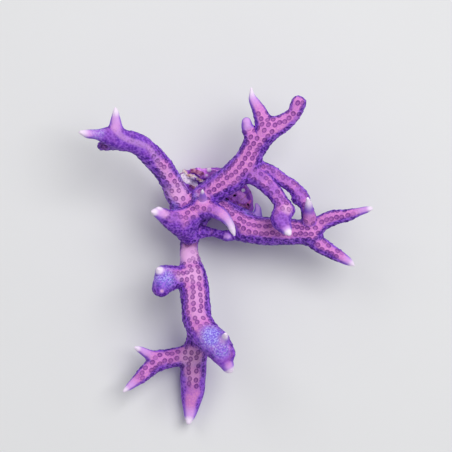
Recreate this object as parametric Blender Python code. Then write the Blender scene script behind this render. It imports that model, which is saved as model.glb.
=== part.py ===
"""A bird's nest coral on the stone that it grew on. Metres, +Z up.

The coral is one grown form: round limbs that taper along smooth paths, blended where one leaves
another. It is then parted at its main forks into the named pieces, with a thin gap at each parting.
The origin is the middle of the stone's cut face. The coral stands on that face and on the underside
of its lowest branch.
"""

import math

import bmesh
import bpy
import numpy as np
from mathutils import Matrix, Vector

MM = 0.001

# Driving dimensions, in millimetres.
PARTING_GAP = 0.3  # between two pieces that meet
BLEND = 1.5  # how far the soft web reaches where a limb leaves another
LUMP_HEIGHT = 0.13  # slow swellings along the branches
GROWN_CELL = 0.3  # cell of the grown surface before it is thinned out
CORAL_TRIANGLES = 6800
PATH_POINTS_PER_SPAN = 4
RING_SIDES = 20
CAP_RINGS = 4

FOOT_HEIGHT = 6.0  # the coral's foot sits this high on the stone
FOOT_CENTRE = (-1.0, 0.0)
FOOT_CUT_RADIUS = 6.4
STONE_HEIGHT = 8.6
STONE_SEAT = FOOT_HEIGHT - PARTING_GAP
STONE_SIDES = 40

# Each limb is a name, the limb that it grows from, and stations along its axis: x, y, z and radius.
LIMBS = {
    "stem": (None, [(-1.0, 0.2, 5.0, 4.2), (-1.5, 0.0, 8.5, 3.4), (-2.0, -0.2, 12.5, 3.2),
                    (-2.2, -0.2, 15.6, 3.0)]),
    "neck": ("stem", [(-3.0, -1.2, 15.6, 2.8), (-6.1, -4.4, 15.8, 2.95), (-6.7, -7.0, 14.6, 2.8),
                      (-6.1, -8.9, 13.4, 2.3)]),
    "horn": ("neck", [(-5.4, -4.3, 17.2, 2.4), (-7.6, -6.0, 16.8, 3.0), (-9.0, -5.5, 17.4, 2.8),
                      (-11.0, -4.5, 18.6, 2.1), (-13.0, -3.6, 20.0, 1.4), (-14.3, -3.0, 21.1, 0.85),
                      (-14.9, -2.85, 21.8, 0.4)]),
    "horn_barb": ("horn", [(-12.4, -3.4, 19.8, 1.0), (-13.4, -2.1, 20.9, 0.35)]),
    "brow": ("stem", [(-2.0, -1.6, 16.8, 2.8), (-5.6, -3.4, 17.4, 2.3), (-9.0, -4.9, 17.8, 2.2)]),
    "curved_spike": ("brow", [(-2.4, -1.5, 18.0, 2.3), (0.75, -2.8, 19.8, 1.9), (2.75, -4.1, 20.6, 1.45),
                              (4.25, -5.8, 20.8, 1.05), (5.0, -7.5, 20.5, 0.7), (5.4, -8.7, 20.2, 0.3)]),
    "crown_spike": ("brow", [(-2.3, -0.6, 18.0, 1.2), (-2.4, 0.8, 20.6, 0.8), (-2.5, 1.9, 22.4, 0.55),
                             (-2.5, 2.4, 23.2, 0.3)]),
    "left_arm": ("stem", [(-3.6, -1.0, 14.4, 2.8), (-7.4, -0.4, 14.2, 3.1), (-9.0, 1.9, 14.9, 3.0),
                          (-10.4, 4.75, 16.2, 2.7), (-12.9, 8.6, 18.2, 2.75), (-15.6, 11.4, 20.0, 2.8),
                          (-17.6, 13.3, 21.2, 2.65), (-20.5, 14.6, 22.2, 2.6), (-24.0, 15.3, 23.0, 2.4),
                          (-26.0, 15.8, 23.3, 1.9)]),
    "left_tip": ("left_arm", [(-25.6, 15.8, 23.2, 1.8), (-29.0, 16.3, 24.0, 1.2), (-31.0, 16.4, 24.6, 1.0),
                              (-32.4, 16.7, 25.1, 0.6), (-33.0, 16.75, 25.3, 0.25)]),
    "left_spike": ("left_arm", [(-23.8, 15.4, 22.8, 2.0), (-24.0, 18.6, 23.6, 1.5), (-24.0, 20.2, 24.2, 1.15),
                                (-24.0, 21.6, 24.7, 0.75), (-24.1, 22.6, 25.0, 0.3)]),
    "left_lobe": ("left_arm", [(-22.5, 14.4, 21.6, 1.9), (-25.4, 13.7, 20.2, 1.3), (-27.5, 13.5, 19.4, 1.1)]),
    "upper_arm": ("stem", [(-2.0, 0.8, 15.9, 3.0), (1.0, 3.0, 17.0, 3.2), (4.75, 5.5, 18.2, 3.4),
                           (8.0, 8.75, 19.2, 3.3), (10.0, 12.4, 20.0, 3.0), (12.0, 15.25, 20.8, 2.85),
                           (14.0, 17.75, 21.4, 2.75)]),
    "blunt_tine": ("upper_arm", [(13.4, 17.3, 21.3, 2.7), (17.25, 19.0, 21.8, 2.2), (20.0, 21.1, 22.3, 1.75),
                                 (21.1, 23.4, 22.8, 1.8), (21.4, 24.1, 22.9, 1.8)]),
    "sharp_tine": ("upper_arm", [(13.3, 18.0, 21.2, 2.3), (11.9, 21.7, 21.2, 1.75), (10.8, 23.7, 21.3, 1.4),
                                 (10.1, 25.0, 21.4, 1.05), (9.8, 26.2, 21.5, 0.7), (9.65, 27.7, 21.6, 0.35)]),
    "stub_tine": ("upper_arm", [(10.8, 14.4, 20.6, 2.1), (8.9, 17.4, 21.6, 1.6), (8.4, 19.4, 22.6, 1.15)]),
    "inner_branch": ("upper_arm", [(7.6, 8.0, 18.8, 2.7), (12.4, 4.9, 18.9, 2.4), (14.9, 2.5, 19.2, 2.0),
                                   (16.75, -0.1, 19.8, 1.9), (17.9, -2.3, 20.6, 1.9)]),
    "knuckle": ("inner_branch", [(17.6, -2.4, 20.4, 1.9), (18.8, -2.9, 20.4, 1.5)]),
    "finger": ("inner_branch", [(17.8, -2.4, 20.5, 2.0), (17.1, -4.7, 21.2, 2.6), (17.5, -5.9, 22.2, 2.1),
                                (18.3, -7.2, 23.3, 1.4), (19.0, -8.3, 24.3, 0.7)]),
    "outer_branch": ("upper_arm", [(9.6, 8.4, 18.6, 2.4), (14.5, 6.7, 17.2, 1.9), (17.75, 4.8, 16.4, 1.65),
                                   (20.25, 3.1, 15.8, 1.65), (22.2, 0.9, 15.2, 1.75), (23.6, -2.2, 14.8, 1.6),
                                   (24.4, -5.4, 14.2, 1.9)]),
    "outer_bump": ("outer_branch", [(21.8, 0.6, 15.2, 1.2), (20.8, -0.1, 15.2, 0.8)]),
    "right_arm": ("stem", [(-1.0, -0.8, 13.2, 2.8), (2.3, -2.6, 12.6, 2.3), (6.2, -5.3, 12.5, 2.75),
                           (9.5, -7.2, 12.8, 3.35), (14.5, -7.75, 13.1, 3.45), (19.5, -7.9, 13.5, 3.2),
                           (22.75, -7.9, 13.9, 2.95), (24.8, -7.75, 14.2, 2.6)]),
    "high_tine": ("right_arm", [(24.4, -7.4, 14.2, 2.5), (28.0, -5.3, 15.0, 1.95), (30.75, -4.3, 15.9, 1.85),
                                (33.25, -3.9, 16.9, 1.5), (35.75, -3.2, 17.9, 1.15), (37.9, -2.6, 18.8, 0.9),
                                (39.2, -2.2, 19.4, 0.6), (39.75, -2.1, 19.6, 0.25)]),
    "low_tine": ("right_arm", [(24.0, -8.4, 14.0, 2.5), (26.2, -10.6, 13.6, 2.15), (28.75, -12.3, 13.0, 1.85),
                               (31.4, -13.8, 12.5, 1.5), (33.4, -15.1, 12.1, 1.1), (34.6, -15.8, 11.9, 0.75),
                               (35.3, -16.3, 11.8, 0.3)]),
    "right_spike": ("right_arm", [(24.4, -6.0, 15.4, 1.8), (24.1, -3.3, 18.4, 1.35), (23.9, -1.3, 20.6, 0.95),
                                  (23.65, 0.3, 22.4, 0.45)]),
    "flange": ("right_arm", [(3.0, -2.2, 11.4, 2.2), (7.0, -3.4, 10.8, 1.7), (10.8, -4.6, 10.8, 1.1)]),
    "leaf": ("flange", [(11.2, -4.3, 11.0, 1.0), (11.4, -2.5, 11.8, 0.8), (11.0, -1.1, 12.4, 0.3)]),
    "under_bridge": ("neck", [(-5.8, -8.1, 13.4, 2.2), (-2.1, -7.9, 12.8, 1.45), (0.0, -8.1, 12.4, 1.0),
                              (2.35, -8.6, 11.9, 0.95), (3.9, -8.8, 11.7, 1.15), (7.6, -8.2, 12.2, 2.0)]),
    "bridge_nub": ("under_bridge", [(3.6, -9.1, 12.2, 0.75), (3.8, -9.4, 13.1, 0.4)]),
    "column": ("stem", [(-1.8, -1.6, 10.2, 2.9), (-4.4, -5.6, 8.9, 2.4), (-5.6, -9.4, 8.0, 2.15),
                        (-5.9, -12.5, 9.4, 2.2), (-5.6, -15.5, 11.2, 2.6), (-4.9, -19.0, 12.6, 3.2),
                        (-4.5, -22.5, 13.8, 3.6), (-4.2, -26.0, 14.9, 3.6), (-3.8, -29.5, 16.1, 3.6),
                        (-2.5, -32.5, 17.6, 3.7), (0.0, -35.0, 19.4, 3.6), (2.0, -37.5, 20.4, 3.1),
                        (3.1, -39.9, 20.6, 2.0), (3.9, -41.5, 20.4, 1.5), (4.4, -42.3, 20.2, 0.8)]),
    "foot_spike": ("column", [(1.8, -35.8, 20.8, 2.0), (2.9, -34.2, 23.4, 1.0), (3.2, -33.3, 25.2, 0.4)]),
    "foot_lobe": ("column", [(3.0, -37.0, 20.6, 1.8), (4.5, -38.3, 20.8, 0.75)]),
    "stub": ("column", [(-5.2, -19.2, 12.8, 2.9), (-8.6, -19.3, 14.4, 2.8), (-11.5, -19.5, 16.4, 2.9)]),
    "stub_high_lobe": ("stub", [(-10.6, -19.0, 15.8, 2.2), (-12.6, -18.0, 17.8, 1.4), (-13.4, -17.3, 19.2, 0.6)]),
    "stub_low_lobe": ("stub", [(-11.2, -20.1, 16.2, 2.4), (-12.5, -21.1, 17.8, 2.4), (-12.8, -21.8, 18.8, 2.3)]),
    "trailing_branch": ("column", [(-4.0, -29.0, 12.6, 2.8), (-3.8, -34.6, 8.0, 2.7), (-4.7, -40.0, 5.2, 3.25),
                                   (-5.0, -44.0, 4.0, 3.3), (-5.1, -48.0, 3.2, 2.95), (-5.4, -51.6, 3.1, 2.2),
                                   (-5.8, -54.2, 3.6, 1.4), (-6.1, -56.0, 4.4, 0.5)]),
    "trailing_fork": ("trailing_branch", [(-5.2, -39.4, 5.6, 2.6), (-8.0, -39.4, 6.0, 2.45),
                                          (-10.5, -39.8, 6.6, 2.4), (-13.2, -40.4, 7.2, 2.2),
                                          (-16.0, -42.6, 7.6, 1.9), (-18.5, -44.8, 8.0, 1.5),
                                          (-20.6, -46.6, 8.6, 1.0), (-22.2, -47.9, 9.2, 0.35)]),
    "fork_tine": ("trailing_fork", [(-13.4, -40.2, 7.4, 1.9), (-15.5, -39.1, 8.4, 1.35), (-17.25, -38.1, 9.4, 1.05),
                                    (-18.5, -37.4, 10.2, 0.75), (-19.3, -37.0, 10.8, 0.35)]),
}

# Limbs that also grow into a second limb at their far end.
FAR_JOINS = (("outer_branch", "right_arm"), ("under_bridge", "right_arm"), ("brow", "horn"),
             ("curved_spike", "stem"), ("flange", "stem"), ("horn", "brow"))

# Where the form is parted: the limb that is cut, how far along its path from 0 to 1, and the cut's radius.
PARTINGS = {
    "front_horn": ("horn", 0.50, 3.8),
    "curved_spike": ("curved_spike", 0.27, 3.0),
    "left_arm": ("left_arm", 0.20, 4.2),
    "upper_arm": ("upper_arm", 0.20, 4.4),
    "blunt_tine": ("blunt_tine", 0.30, 3.3),
    "sharp_tine": ("sharp_tine", 0.33, 2.7),
    "twin_branches": ("inner_branch", 0.23, 4.7),
    "outer_branch": ("outer_branch", 0.45, 2.3),
    "outer_branch_end": ("outer_branch", 0.79, 2.3),
    "right_arm": ("right_arm", 0.18, 4.7),
    "high_tine": ("high_tine", 0.28, 3.0),
    "low_tine": ("low_tine", 0.34, 3.0),
    "under_bridge": ("under_bridge", 0.30, 2.2),
    "column": ("column", 0.20, 3.0),
    "column_stub": ("stub", 0.62, 4.1),
    "trailing_branch": ("trailing_branch", 0.30, 4.0),
    "trailing_fork": ("trailing_fork", 0.24, 3.4),
}

# A point well inside each piece, by which the parted pieces get their names: a limb and how far along.
PIECES = {
    "coral_stem": ("stem", 0.5),
    "front_horn": ("horn", 0.75),
    "curved_spike": ("curved_spike", 0.5),
    "left_arm": ("left_arm", 0.5),
    "upper_arm": ("upper_arm", 0.55),
    "blunt_tine": ("blunt_tine", 0.65),
    "sharp_tine": ("sharp_tine", 0.55),
    "inner_branch": ("inner_branch", 0.75),
    "outer_branch": ("outer_branch", 0.62),
    "right_arm": ("right_arm", 0.65),
    "high_tine": ("high_tine", 0.55),
    "low_tine": ("low_tine", 0.6),
    "column": ("column", 0.5),
    "column_stub": ("stub", 0.95),
    "trailing_branch": ("trailing_branch", 0.6),
    "trailing_fork": ("trailing_fork", 0.6),
}


def clear_scene():
    for obj in list(bpy.data.objects):
        bpy.data.objects.remove(obj)


def smooth_path(stations):
    """Stations joined by a Catmull-Rom curve, as rows of x, y, z and radius."""
    rows = np.array(stations, float)
    ends = np.vstack([2 * rows[0] - rows[1], rows, 2 * rows[-1] - rows[-2]])
    steps = np.linspace(0, 1, PATH_POINTS_PER_SPAN, endpoint=False)[:, None]
    spans = []
    for before, start, end, after in zip(ends, ends[1:], ends[2:], ends[3:]):
        spans.append(0.5 * (2 * start + (end - before) * steps
                            + (2 * before - 5 * start + 4 * end - after) * steps**2
                            + (3 * start - before - 3 * end + after) * steps**3))
    path = np.vstack([*spans, rows[-1:]])
    path[:, 3] = np.maximum(path[:, 3], rows[:, 3].min() * 0.9)
    return path


PATHS = {name: smooth_path(stations) for name, (_, stations) in LIMBS.items()}


def along(limb, share):
    """The point, direction and radius at a share of a limb's path."""
    path = PATHS[limb]
    lengths = np.linalg.norm(np.diff(path[:, :3], axis=0), axis=1)
    marks = np.concatenate([[0], np.cumsum(lengths)]) / lengths.sum()
    at = [np.interp(share, marks, path[:, k]) for k in range(4)]
    span = min(np.searchsorted(marks, share, side="right"), len(lengths)) - 1
    direction = (path[span + 1, :3] - path[span, :3]) / lengths[span]
    return np.array(at[:3]), direction, at[3]


def limb_distance(points, path):
    """Distance from each point to a tapering round bar, less than 0 inside, and its outward direction."""
    start, end = path[:-1], path[1:]
    run = end[:, :3] - start[:, :3]
    offset = points[:, None, :] - start[None, :, :3]
    share = np.clip((offset * run).sum(2) / (run * run).sum(1), 0, 1)
    away = offset - share[..., None] * run
    reach = np.linalg.norm(away, axis=2)
    distance = reach - (start[:, 3] + share * (end[:, 3] - start[:, 3]))
    nearest = distance.argmin(1)
    rows = np.arange(len(points))
    return distance[rows, nearest], away[rows, nearest] / np.maximum(reach[rows, nearest], 1e-6)[:, None]


def blended(first, second):
    """Two distances with their directions, joined by a soft web BLEND wide."""
    (a, toward_a), (b, toward_b) = first, second
    lean = np.clip((b - a) / BLEND, -1, 1)
    distance = np.minimum(a, b) - BLEND * (1 - abs(lean)) ** 2 / 4
    share = 0.5 + 0.5 * lean
    return distance, share[:, None] * toward_a + (1 - share)[:, None] * toward_b


def lumps(points):
    """Slow swellings: the mean of three sine waves that run in different directions."""
    waves = np.array([(1.05, 0.45, 0.3), (-0.4, 1.2, 0.6), (0.5, -0.65, 1.1)])
    return LUMP_HEIGHT * np.sin(points @ waves.T).mean(1)


def coral_distance(points):
    """Distance from each point to the whole coral's surface, and its outward direction."""
    single = {name: limb_distance(points, path) for name, path in PATHS.items()}
    joins = [(name, parent) for name, (parent, _) in LIMBS.items() if parent] + list(FAR_JOINS)
    found = [*single.values(), *(blended(single[a], single[b]) for a, b in joins)]
    distances = np.array([distance for distance, _ in found])
    nearest = distances.argmin(0)
    rows = np.arange(len(points))
    directions = np.array([direction for _, direction in found])[nearest, rows]
    return distances[nearest, rows] - lumps(points), directions


def tube(path):
    """A closed tube round a path, as points and faces: rings of RING_SIDES, with a round cap at each end."""
    ahead = np.gradient(path[:, :3], axis=0)
    ahead /= np.linalg.norm(ahead, axis=1)[:, None]
    flattest = np.linalg.svd(path[:, :3] - path[:, :3].mean(0))[2][-1]
    side = np.cross(ahead, flattest)
    side /= np.linalg.norm(side, axis=1)[:, None]
    other = np.cross(ahead, side)
    turn = np.linspace(0, 2 * math.pi, RING_SIDES, endpoint=False)
    cap = np.linspace(0, math.pi / 2, CAP_RINGS + 1)[1:-1]
    centres = [*(path[0, :3] - path[0, 3] * math.sin(a) * ahead[0] for a in cap[::-1]), *path[:, :3],
               *(path[-1, :3] + path[-1, 3] * math.sin(a) * ahead[-1] for a in cap)]
    radii = [*(path[0, 3] * math.cos(a) for a in cap[::-1]), *path[:, 3], *(path[-1, 3] * math.cos(a) for a in cap)]
    rows = np.concatenate([np.zeros(len(cap), int), np.arange(len(path)), np.full(len(cap), len(path) - 1)])
    across = np.cos(turn)[:, None] * side[rows, None] + np.sin(turn)[:, None] * other[rows, None]
    rings = np.array(centres)[:, None] + np.array(radii)[:, None, None] * across
    poles = np.array([path[0, :3] - path[0, 3] * ahead[0], path[-1, :3] + path[-1, 3] * ahead[-1]])
    count = len(rings)
    column = np.arange(RING_SIDES)
    after = np.roll(column, -1)
    low, high = np.arange(count - 1)[:, None] * RING_SIDES, np.arange(1, count)[:, None] * RING_SIDES
    walls = np.stack([low + column, low + after, high + after, high + column], 2).reshape(-1, 4).tolist()
    first_pole, last_pole = count * RING_SIDES, count * RING_SIDES + 1
    last = (count - 1) * RING_SIDES
    ends = [(first_pole, b, a) for a, b in zip(column, after)]
    ends += [(last_pole, last + a, last + b) for a, b in zip(column, after)]
    return np.vstack([rings.reshape(-1, 3), poles]), walls + ends


def add_object(name, points, faces):
    """A mesh object from points in millimetres."""
    mesh = bpy.data.meshes.new(name)
    mesh.from_pydata((np.asarray(points) * MM).tolist(), [], faces)
    mesh.update()
    obj = bpy.data.objects.new(name, mesh)
    bpy.context.scene.collection.objects.link(obj)
    return obj


def outward(obj):
    """Turns every face of a mesh outwards."""
    shape = bmesh.new()
    shape.from_mesh(obj.data)
    bmesh.ops.recalc_face_normals(shape, faces=shape.faces)
    shape.to_mesh(obj.data)
    shape.free()


def evaluated(obj):
    """Replaces an object's mesh by the mesh that its modifiers give."""
    bpy.context.view_layer.update()
    graph = bpy.context.evaluated_depsgraph_get()
    mesh = bpy.data.meshes.new_from_object(obj.evaluated_get(graph))
    obj.modifiers.clear()
    obj.data = mesh


def grown_coral():
    """The whole coral as one closed surface: tubes fused on a fine grid, then drawn onto the blended form."""
    points, faces, base = [], [], 0
    for path in PATHS.values():
        tube_points, tube_faces = tube(path)
        points.append(tube_points)
        faces += [tuple(corner + base for corner in face) for face in tube_faces]
        base += len(tube_points)
    coral = add_object("grown_coral", np.vstack(points), faces)
    outward(coral)
    fuse = coral.modifiers.new("fuse", "REMESH")
    fuse.mode = "VOXEL"
    fuse.voxel_size = GROWN_CELL * MM
    evaluated(coral)
    count = len(coral.data.vertices)
    places = np.empty(count * 3, np.float32)
    coral.data.vertices.foreach_get("co", places)
    places = places.reshape(-1, 3).astype(float) / MM
    for _ in range(3):
        distance, direction = coral_distance(places)
        places -= distance[:, None] * direction
    coral.data.vertices.foreach_set("co", (places * MM).astype(np.float32).ravel())
    coral.data.update()
    thin = coral.modifiers.new("thin", "DECIMATE")
    thin.ratio = CORAL_TRIANGLES / (2 * len(coral.data.polygons))
    thin.use_collapse_triangulate = True
    evaluated(coral)
    return coral


def parting_cutter():
    """Thin round plates across the limbs, one for each parting, and a plug that cuts the foot flat."""
    shape = bmesh.new()
    for limb, share, reach in PARTINGS.values():
        centre, direction, _ = along(limb, share)
        turn = Vector(direction).to_track_quat("Z", "Y").to_matrix().to_4x4()
        bmesh.ops.create_cone(shape, cap_ends=True, segments=20, radius1=reach * MM,
                              radius2=reach * MM, depth=PARTING_GAP * MM,
                              matrix=Matrix.Translation(centre * MM) @ turn)
    bmesh.ops.create_cone(shape, cap_ends=True, segments=32, radius1=FOOT_CUT_RADIUS * MM,
                          radius2=FOOT_CUT_RADIUS * MM, depth=FOOT_HEIGHT * MM,
                          matrix=Matrix.Translation(Vector((*FOOT_CENTRE, FOOT_HEIGHT / 2)) * MM))
    mesh = bpy.data.meshes.new("parting_cutter")
    shape.to_mesh(mesh)
    shape.free()
    cutter = bpy.data.objects.new("parting_cutter", mesh)
    bpy.context.scene.collection.objects.link(cutter)
    cutter.hide_render = True
    cutter.display_type = "WIRE"
    return cutter


def parted(coral):
    """Parts the coral at its forks and gives each loose piece its name."""
    cutter = parting_cutter()
    part = coral.modifiers.new("part", "BOOLEAN")
    part.operation = "DIFFERENCE"
    part.object = cutter
    evaluated(coral)
    bpy.data.objects.remove(cutter)
    bpy.context.view_layer.objects.active = coral
    coral.select_set(True)
    bpy.ops.object.mode_set(mode="EDIT")
    bpy.ops.mesh.select_all(action="SELECT")
    bpy.ops.mesh.separate(type="LOOSE")
    bpy.ops.object.mode_set(mode="OBJECT")
    loose = list(bpy.context.selected_objects)
    for name, (limb, share) in PIECES.items():
        marker = Vector(along(limb, share)[0]) * MM
        piece = min(loose, key=lambda obj: (obj.closest_point_on_mesh(marker)[1] - marker).length)
        loose.remove(piece)
        piece.name = piece.data.name = name
    if loose:
        raise RuntimeError(f"{len(loose)} loose pieces have no name")


def stone_outline(turn):
    """The stone's radius at an angle: a slow closed curve through radii read every 15 degrees."""
    radii = np.array([10.0, 9.4, 8.9, 8.8, 8.6, 8.2, 7.9, 8.1, 8.8, 10.2, 10.6, 10.5,
                      10.4, 10.6, 10.9, 11.0, 10.0, 6.0, 4.0, 3.9, 4.0, 5.4, 8.4, 10.2])
    marks = np.linspace(0, 2 * math.pi, len(radii) + 1)
    around = np.concatenate([radii, radii[:1]])
    near = np.interp(turn % (2 * math.pi), marks, around)
    wide = np.interp((turn + 0.09) % (2 * math.pi), marks, around)
    back = np.interp((turn - 0.09) % (2 * math.pi), marks, around)
    return (2 * near + wide + back) / 4


def stone_top(x, y):
    """Height of the stone's top: ledges that rise away from the seat, kept low where the coral passes."""
    from_foot = np.hypot(x - FOOT_CENTRE[0], y - FOOT_CENTRE[1])
    rise = np.clip((from_foot - 5.0) / 2.5, 0, 1)
    ledge = 1.5 + 0.9 * np.sin(1.1 * x + 0.9 * y) + 0.5 * np.sin(2.1 * x - 1.3 * y)
    north = np.clip((y + 2.0) / 3.0, 0, 1)
    return STONE_SEAT - 0.9 * (1 - north) * rise + (STONE_HEIGHT - STONE_SEAT - 1.5 + ledge * 0.8) * rise * north


def base_stone():
    """The stone: a lumpy plug with a flat seat for the coral's foot and a flat cut face below."""
    turn = np.linspace(0, 2 * math.pi, STONE_SIDES, endpoint=False)
    outline = stone_outline(turn)
    rows = []
    for share in (0.35, 0.55, 0.72, 0.86, 0.96):
        x, y = share * outline * np.cos(turn), share * outline * np.sin(turn)
        rows.append(np.stack([x, y, stone_top(x, y)], 1))
    rim_x, rim_y = rows[-1][:, 0], rows[-1][:, 1]
    rim = stone_top(rim_x, rim_y)
    for drop, out in ((0.82, 1.0), (0.6, 0.985), (0.38, 1.0), (0.16, 0.975), (0.0, 0.93)):
        ripple = 1 + 0.02 * np.sin(7 * turn + 9 * drop)
        rows.append(np.stack([out * ripple * outline * np.cos(turn), out * ripple * outline * np.sin(turn),
                              rim * drop], 1))
    points = np.vstack([*rows, [(0, 0, STONE_SEAT), (0, 0, 0)]])
    column = np.arange(STONE_SIDES)
    after = np.roll(column, -1)
    faces = []
    for row in range(len(rows) - 1):
        low, high = row * STONE_SIDES, (row + 1) * STONE_SIDES
        faces += [(low + a, high + a, high + b, low + b) for a, b in zip(column, after)]
    top, bottom, last = len(points) - 2, len(points) - 1, (len(rows) - 1) * STONE_SIDES
    faces += [(top, a, b) for a, b in zip(column, after)]
    faces += [(bottom, last + b, last + a) for a, b in zip(column, after)]
    stone = add_object("base_stone", points, faces)
    outward(stone)
    return stone


def painted(name, colour, roughness):
    material = bpy.data.materials.new(name)
    material.use_nodes = True
    shader = material.node_tree.nodes["Principled BSDF"]
    shader.inputs["Base Color"].default_value = (*colour, 1)
    shader.inputs["Roughness"].default_value = roughness
    shader.inputs["Metallic"].default_value = 0
    material.diffuse_color = (*colour, 1)
    return material


def finish_surfaces():
    """Gives each piece its own material and shades the grown pieces smooth."""
    tissue, pale, stone = (0.42, 0.16, 0.50), (0.66, 0.40, 0.66), (0.52, 0.20, 0.42)
    for obj in bpy.context.scene.objects:
        if obj.name == "base_stone":
            colour, roughness = stone, 0.85
        else:
            colour, roughness = (pale if obj.name == "column" else tissue), 0.5
            obj.data.shade_smooth()
            obj.data.set_sharp_from_angle(angle=math.radians(50))
        obj.data.materials.clear()
        obj.data.materials.append(painted(f"{obj.name}_finish", colour, roughness))


def main():
    clear_scene()
    coral = grown_coral()
    parted(coral)
    base_stone()
    finish_surfaces()


main()
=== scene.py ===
"""A birds nest coral on the base stone that it grew on.

The coral's skin is one fine surface: tubes along the limbs are fused, drawn onto a smoothly blended form,
and covered with rows of raised cups. It is then parted at the main forks, one piece for each solid.
Lengths in the tables below are in millimetres, as in the solids.
"""

import math

import bpy
import numpy as np
from bpy.props import FloatProperty, FloatVectorProperty, IntProperty, PointerProperty
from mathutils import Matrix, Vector


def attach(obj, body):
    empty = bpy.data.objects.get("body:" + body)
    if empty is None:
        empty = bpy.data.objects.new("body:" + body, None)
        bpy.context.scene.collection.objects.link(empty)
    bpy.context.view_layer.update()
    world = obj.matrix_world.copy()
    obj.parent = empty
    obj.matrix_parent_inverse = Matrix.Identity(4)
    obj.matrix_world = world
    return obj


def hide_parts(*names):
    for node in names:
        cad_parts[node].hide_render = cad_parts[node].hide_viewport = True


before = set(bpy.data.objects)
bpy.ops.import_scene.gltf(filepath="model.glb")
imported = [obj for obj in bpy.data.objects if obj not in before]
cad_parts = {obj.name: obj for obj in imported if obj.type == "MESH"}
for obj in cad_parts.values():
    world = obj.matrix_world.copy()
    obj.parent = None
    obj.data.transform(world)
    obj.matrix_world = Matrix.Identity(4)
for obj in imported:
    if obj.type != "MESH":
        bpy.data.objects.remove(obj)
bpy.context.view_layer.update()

bl_info = {
    "name": "Birds nest coral",
    "version": (1, 0, 0),
    "blender": (4, 5, 0),
    "location": "3D View > Sidebar > Coral",
    "description": "Grows the coral's skin with its cups, the crusted base stone and the stage",
    "category": "Add Mesh",
}

MM = 0.001
FAR = 99.0

# The form, as in the solids.
BLEND = 1.5
LUMP_HEIGHT = 0.13
FOOT_HEIGHT = 6.0
FOOT_CENTRE = (-1.0, 0.0)
FOOT_RADIUS = 5.5
FOOT_BURIED = 0.7
STONE_HEIGHT = 8.6
STONE_SEAT = 5.7
SEAT_RADIUS = 5.0
LEDGE_LENGTH = 2.5

# Where the stone's rim is, as a share of its outline, and how the crust's edges wander.
RIM_SHARE = 0.96
CRUST_WANDER = 0.32
CRUST_GRAIN = 0.8
CRUST_SEED = 21

# How finely paths, tubes and the stone are cut.
PATH_POINTS_PER_SPAN = 8
RING_SIDES = 20
CAP_RINGS = 4
STONE_COLUMNS = 280
STONE_TOP_ROWS = 60
STONE_SIDE_ROWS = 44

# How the cups are spread, in cup spacings: rows apart, cups apart at the least, and how irregular both are.
CUP_ROW_SPACING = 1.2
CUPS_APART = 0.8
CUP_SCATTER = 0.1
ROW_SCATTER = 0.5
ROW_DRIFT = 0.12

# A cup's own shape, how far another limb may cover it, and the length over which its row sways.
CUP_LENGTHENING = 1.2
CUP_RIM = 0.53
RIM_WIDTH = 0.13
PIT_WIDTH = 0.28
CUP_OVERLAP = 0.35
DRIFT_LENGTH = 4.1

# The way that the pink side faces, towards the light: the pink top and the violet sides and underside are
# partly the tissue's own colours and partly painted light and shade.
SUNNY_SIDE = (0.03, 0.24, 0.97)

# How hollow a cut's cap is, how near a cut a border point is moved onto it, and the fewest faces of a piece.
CAP_HOLLOW = 0.3
BORDER_WIDTH = 0.25
SMALLEST_PIECE = 200

FLOOR_RADIUS = 3.0
FLOOR_SIDES = 96

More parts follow.
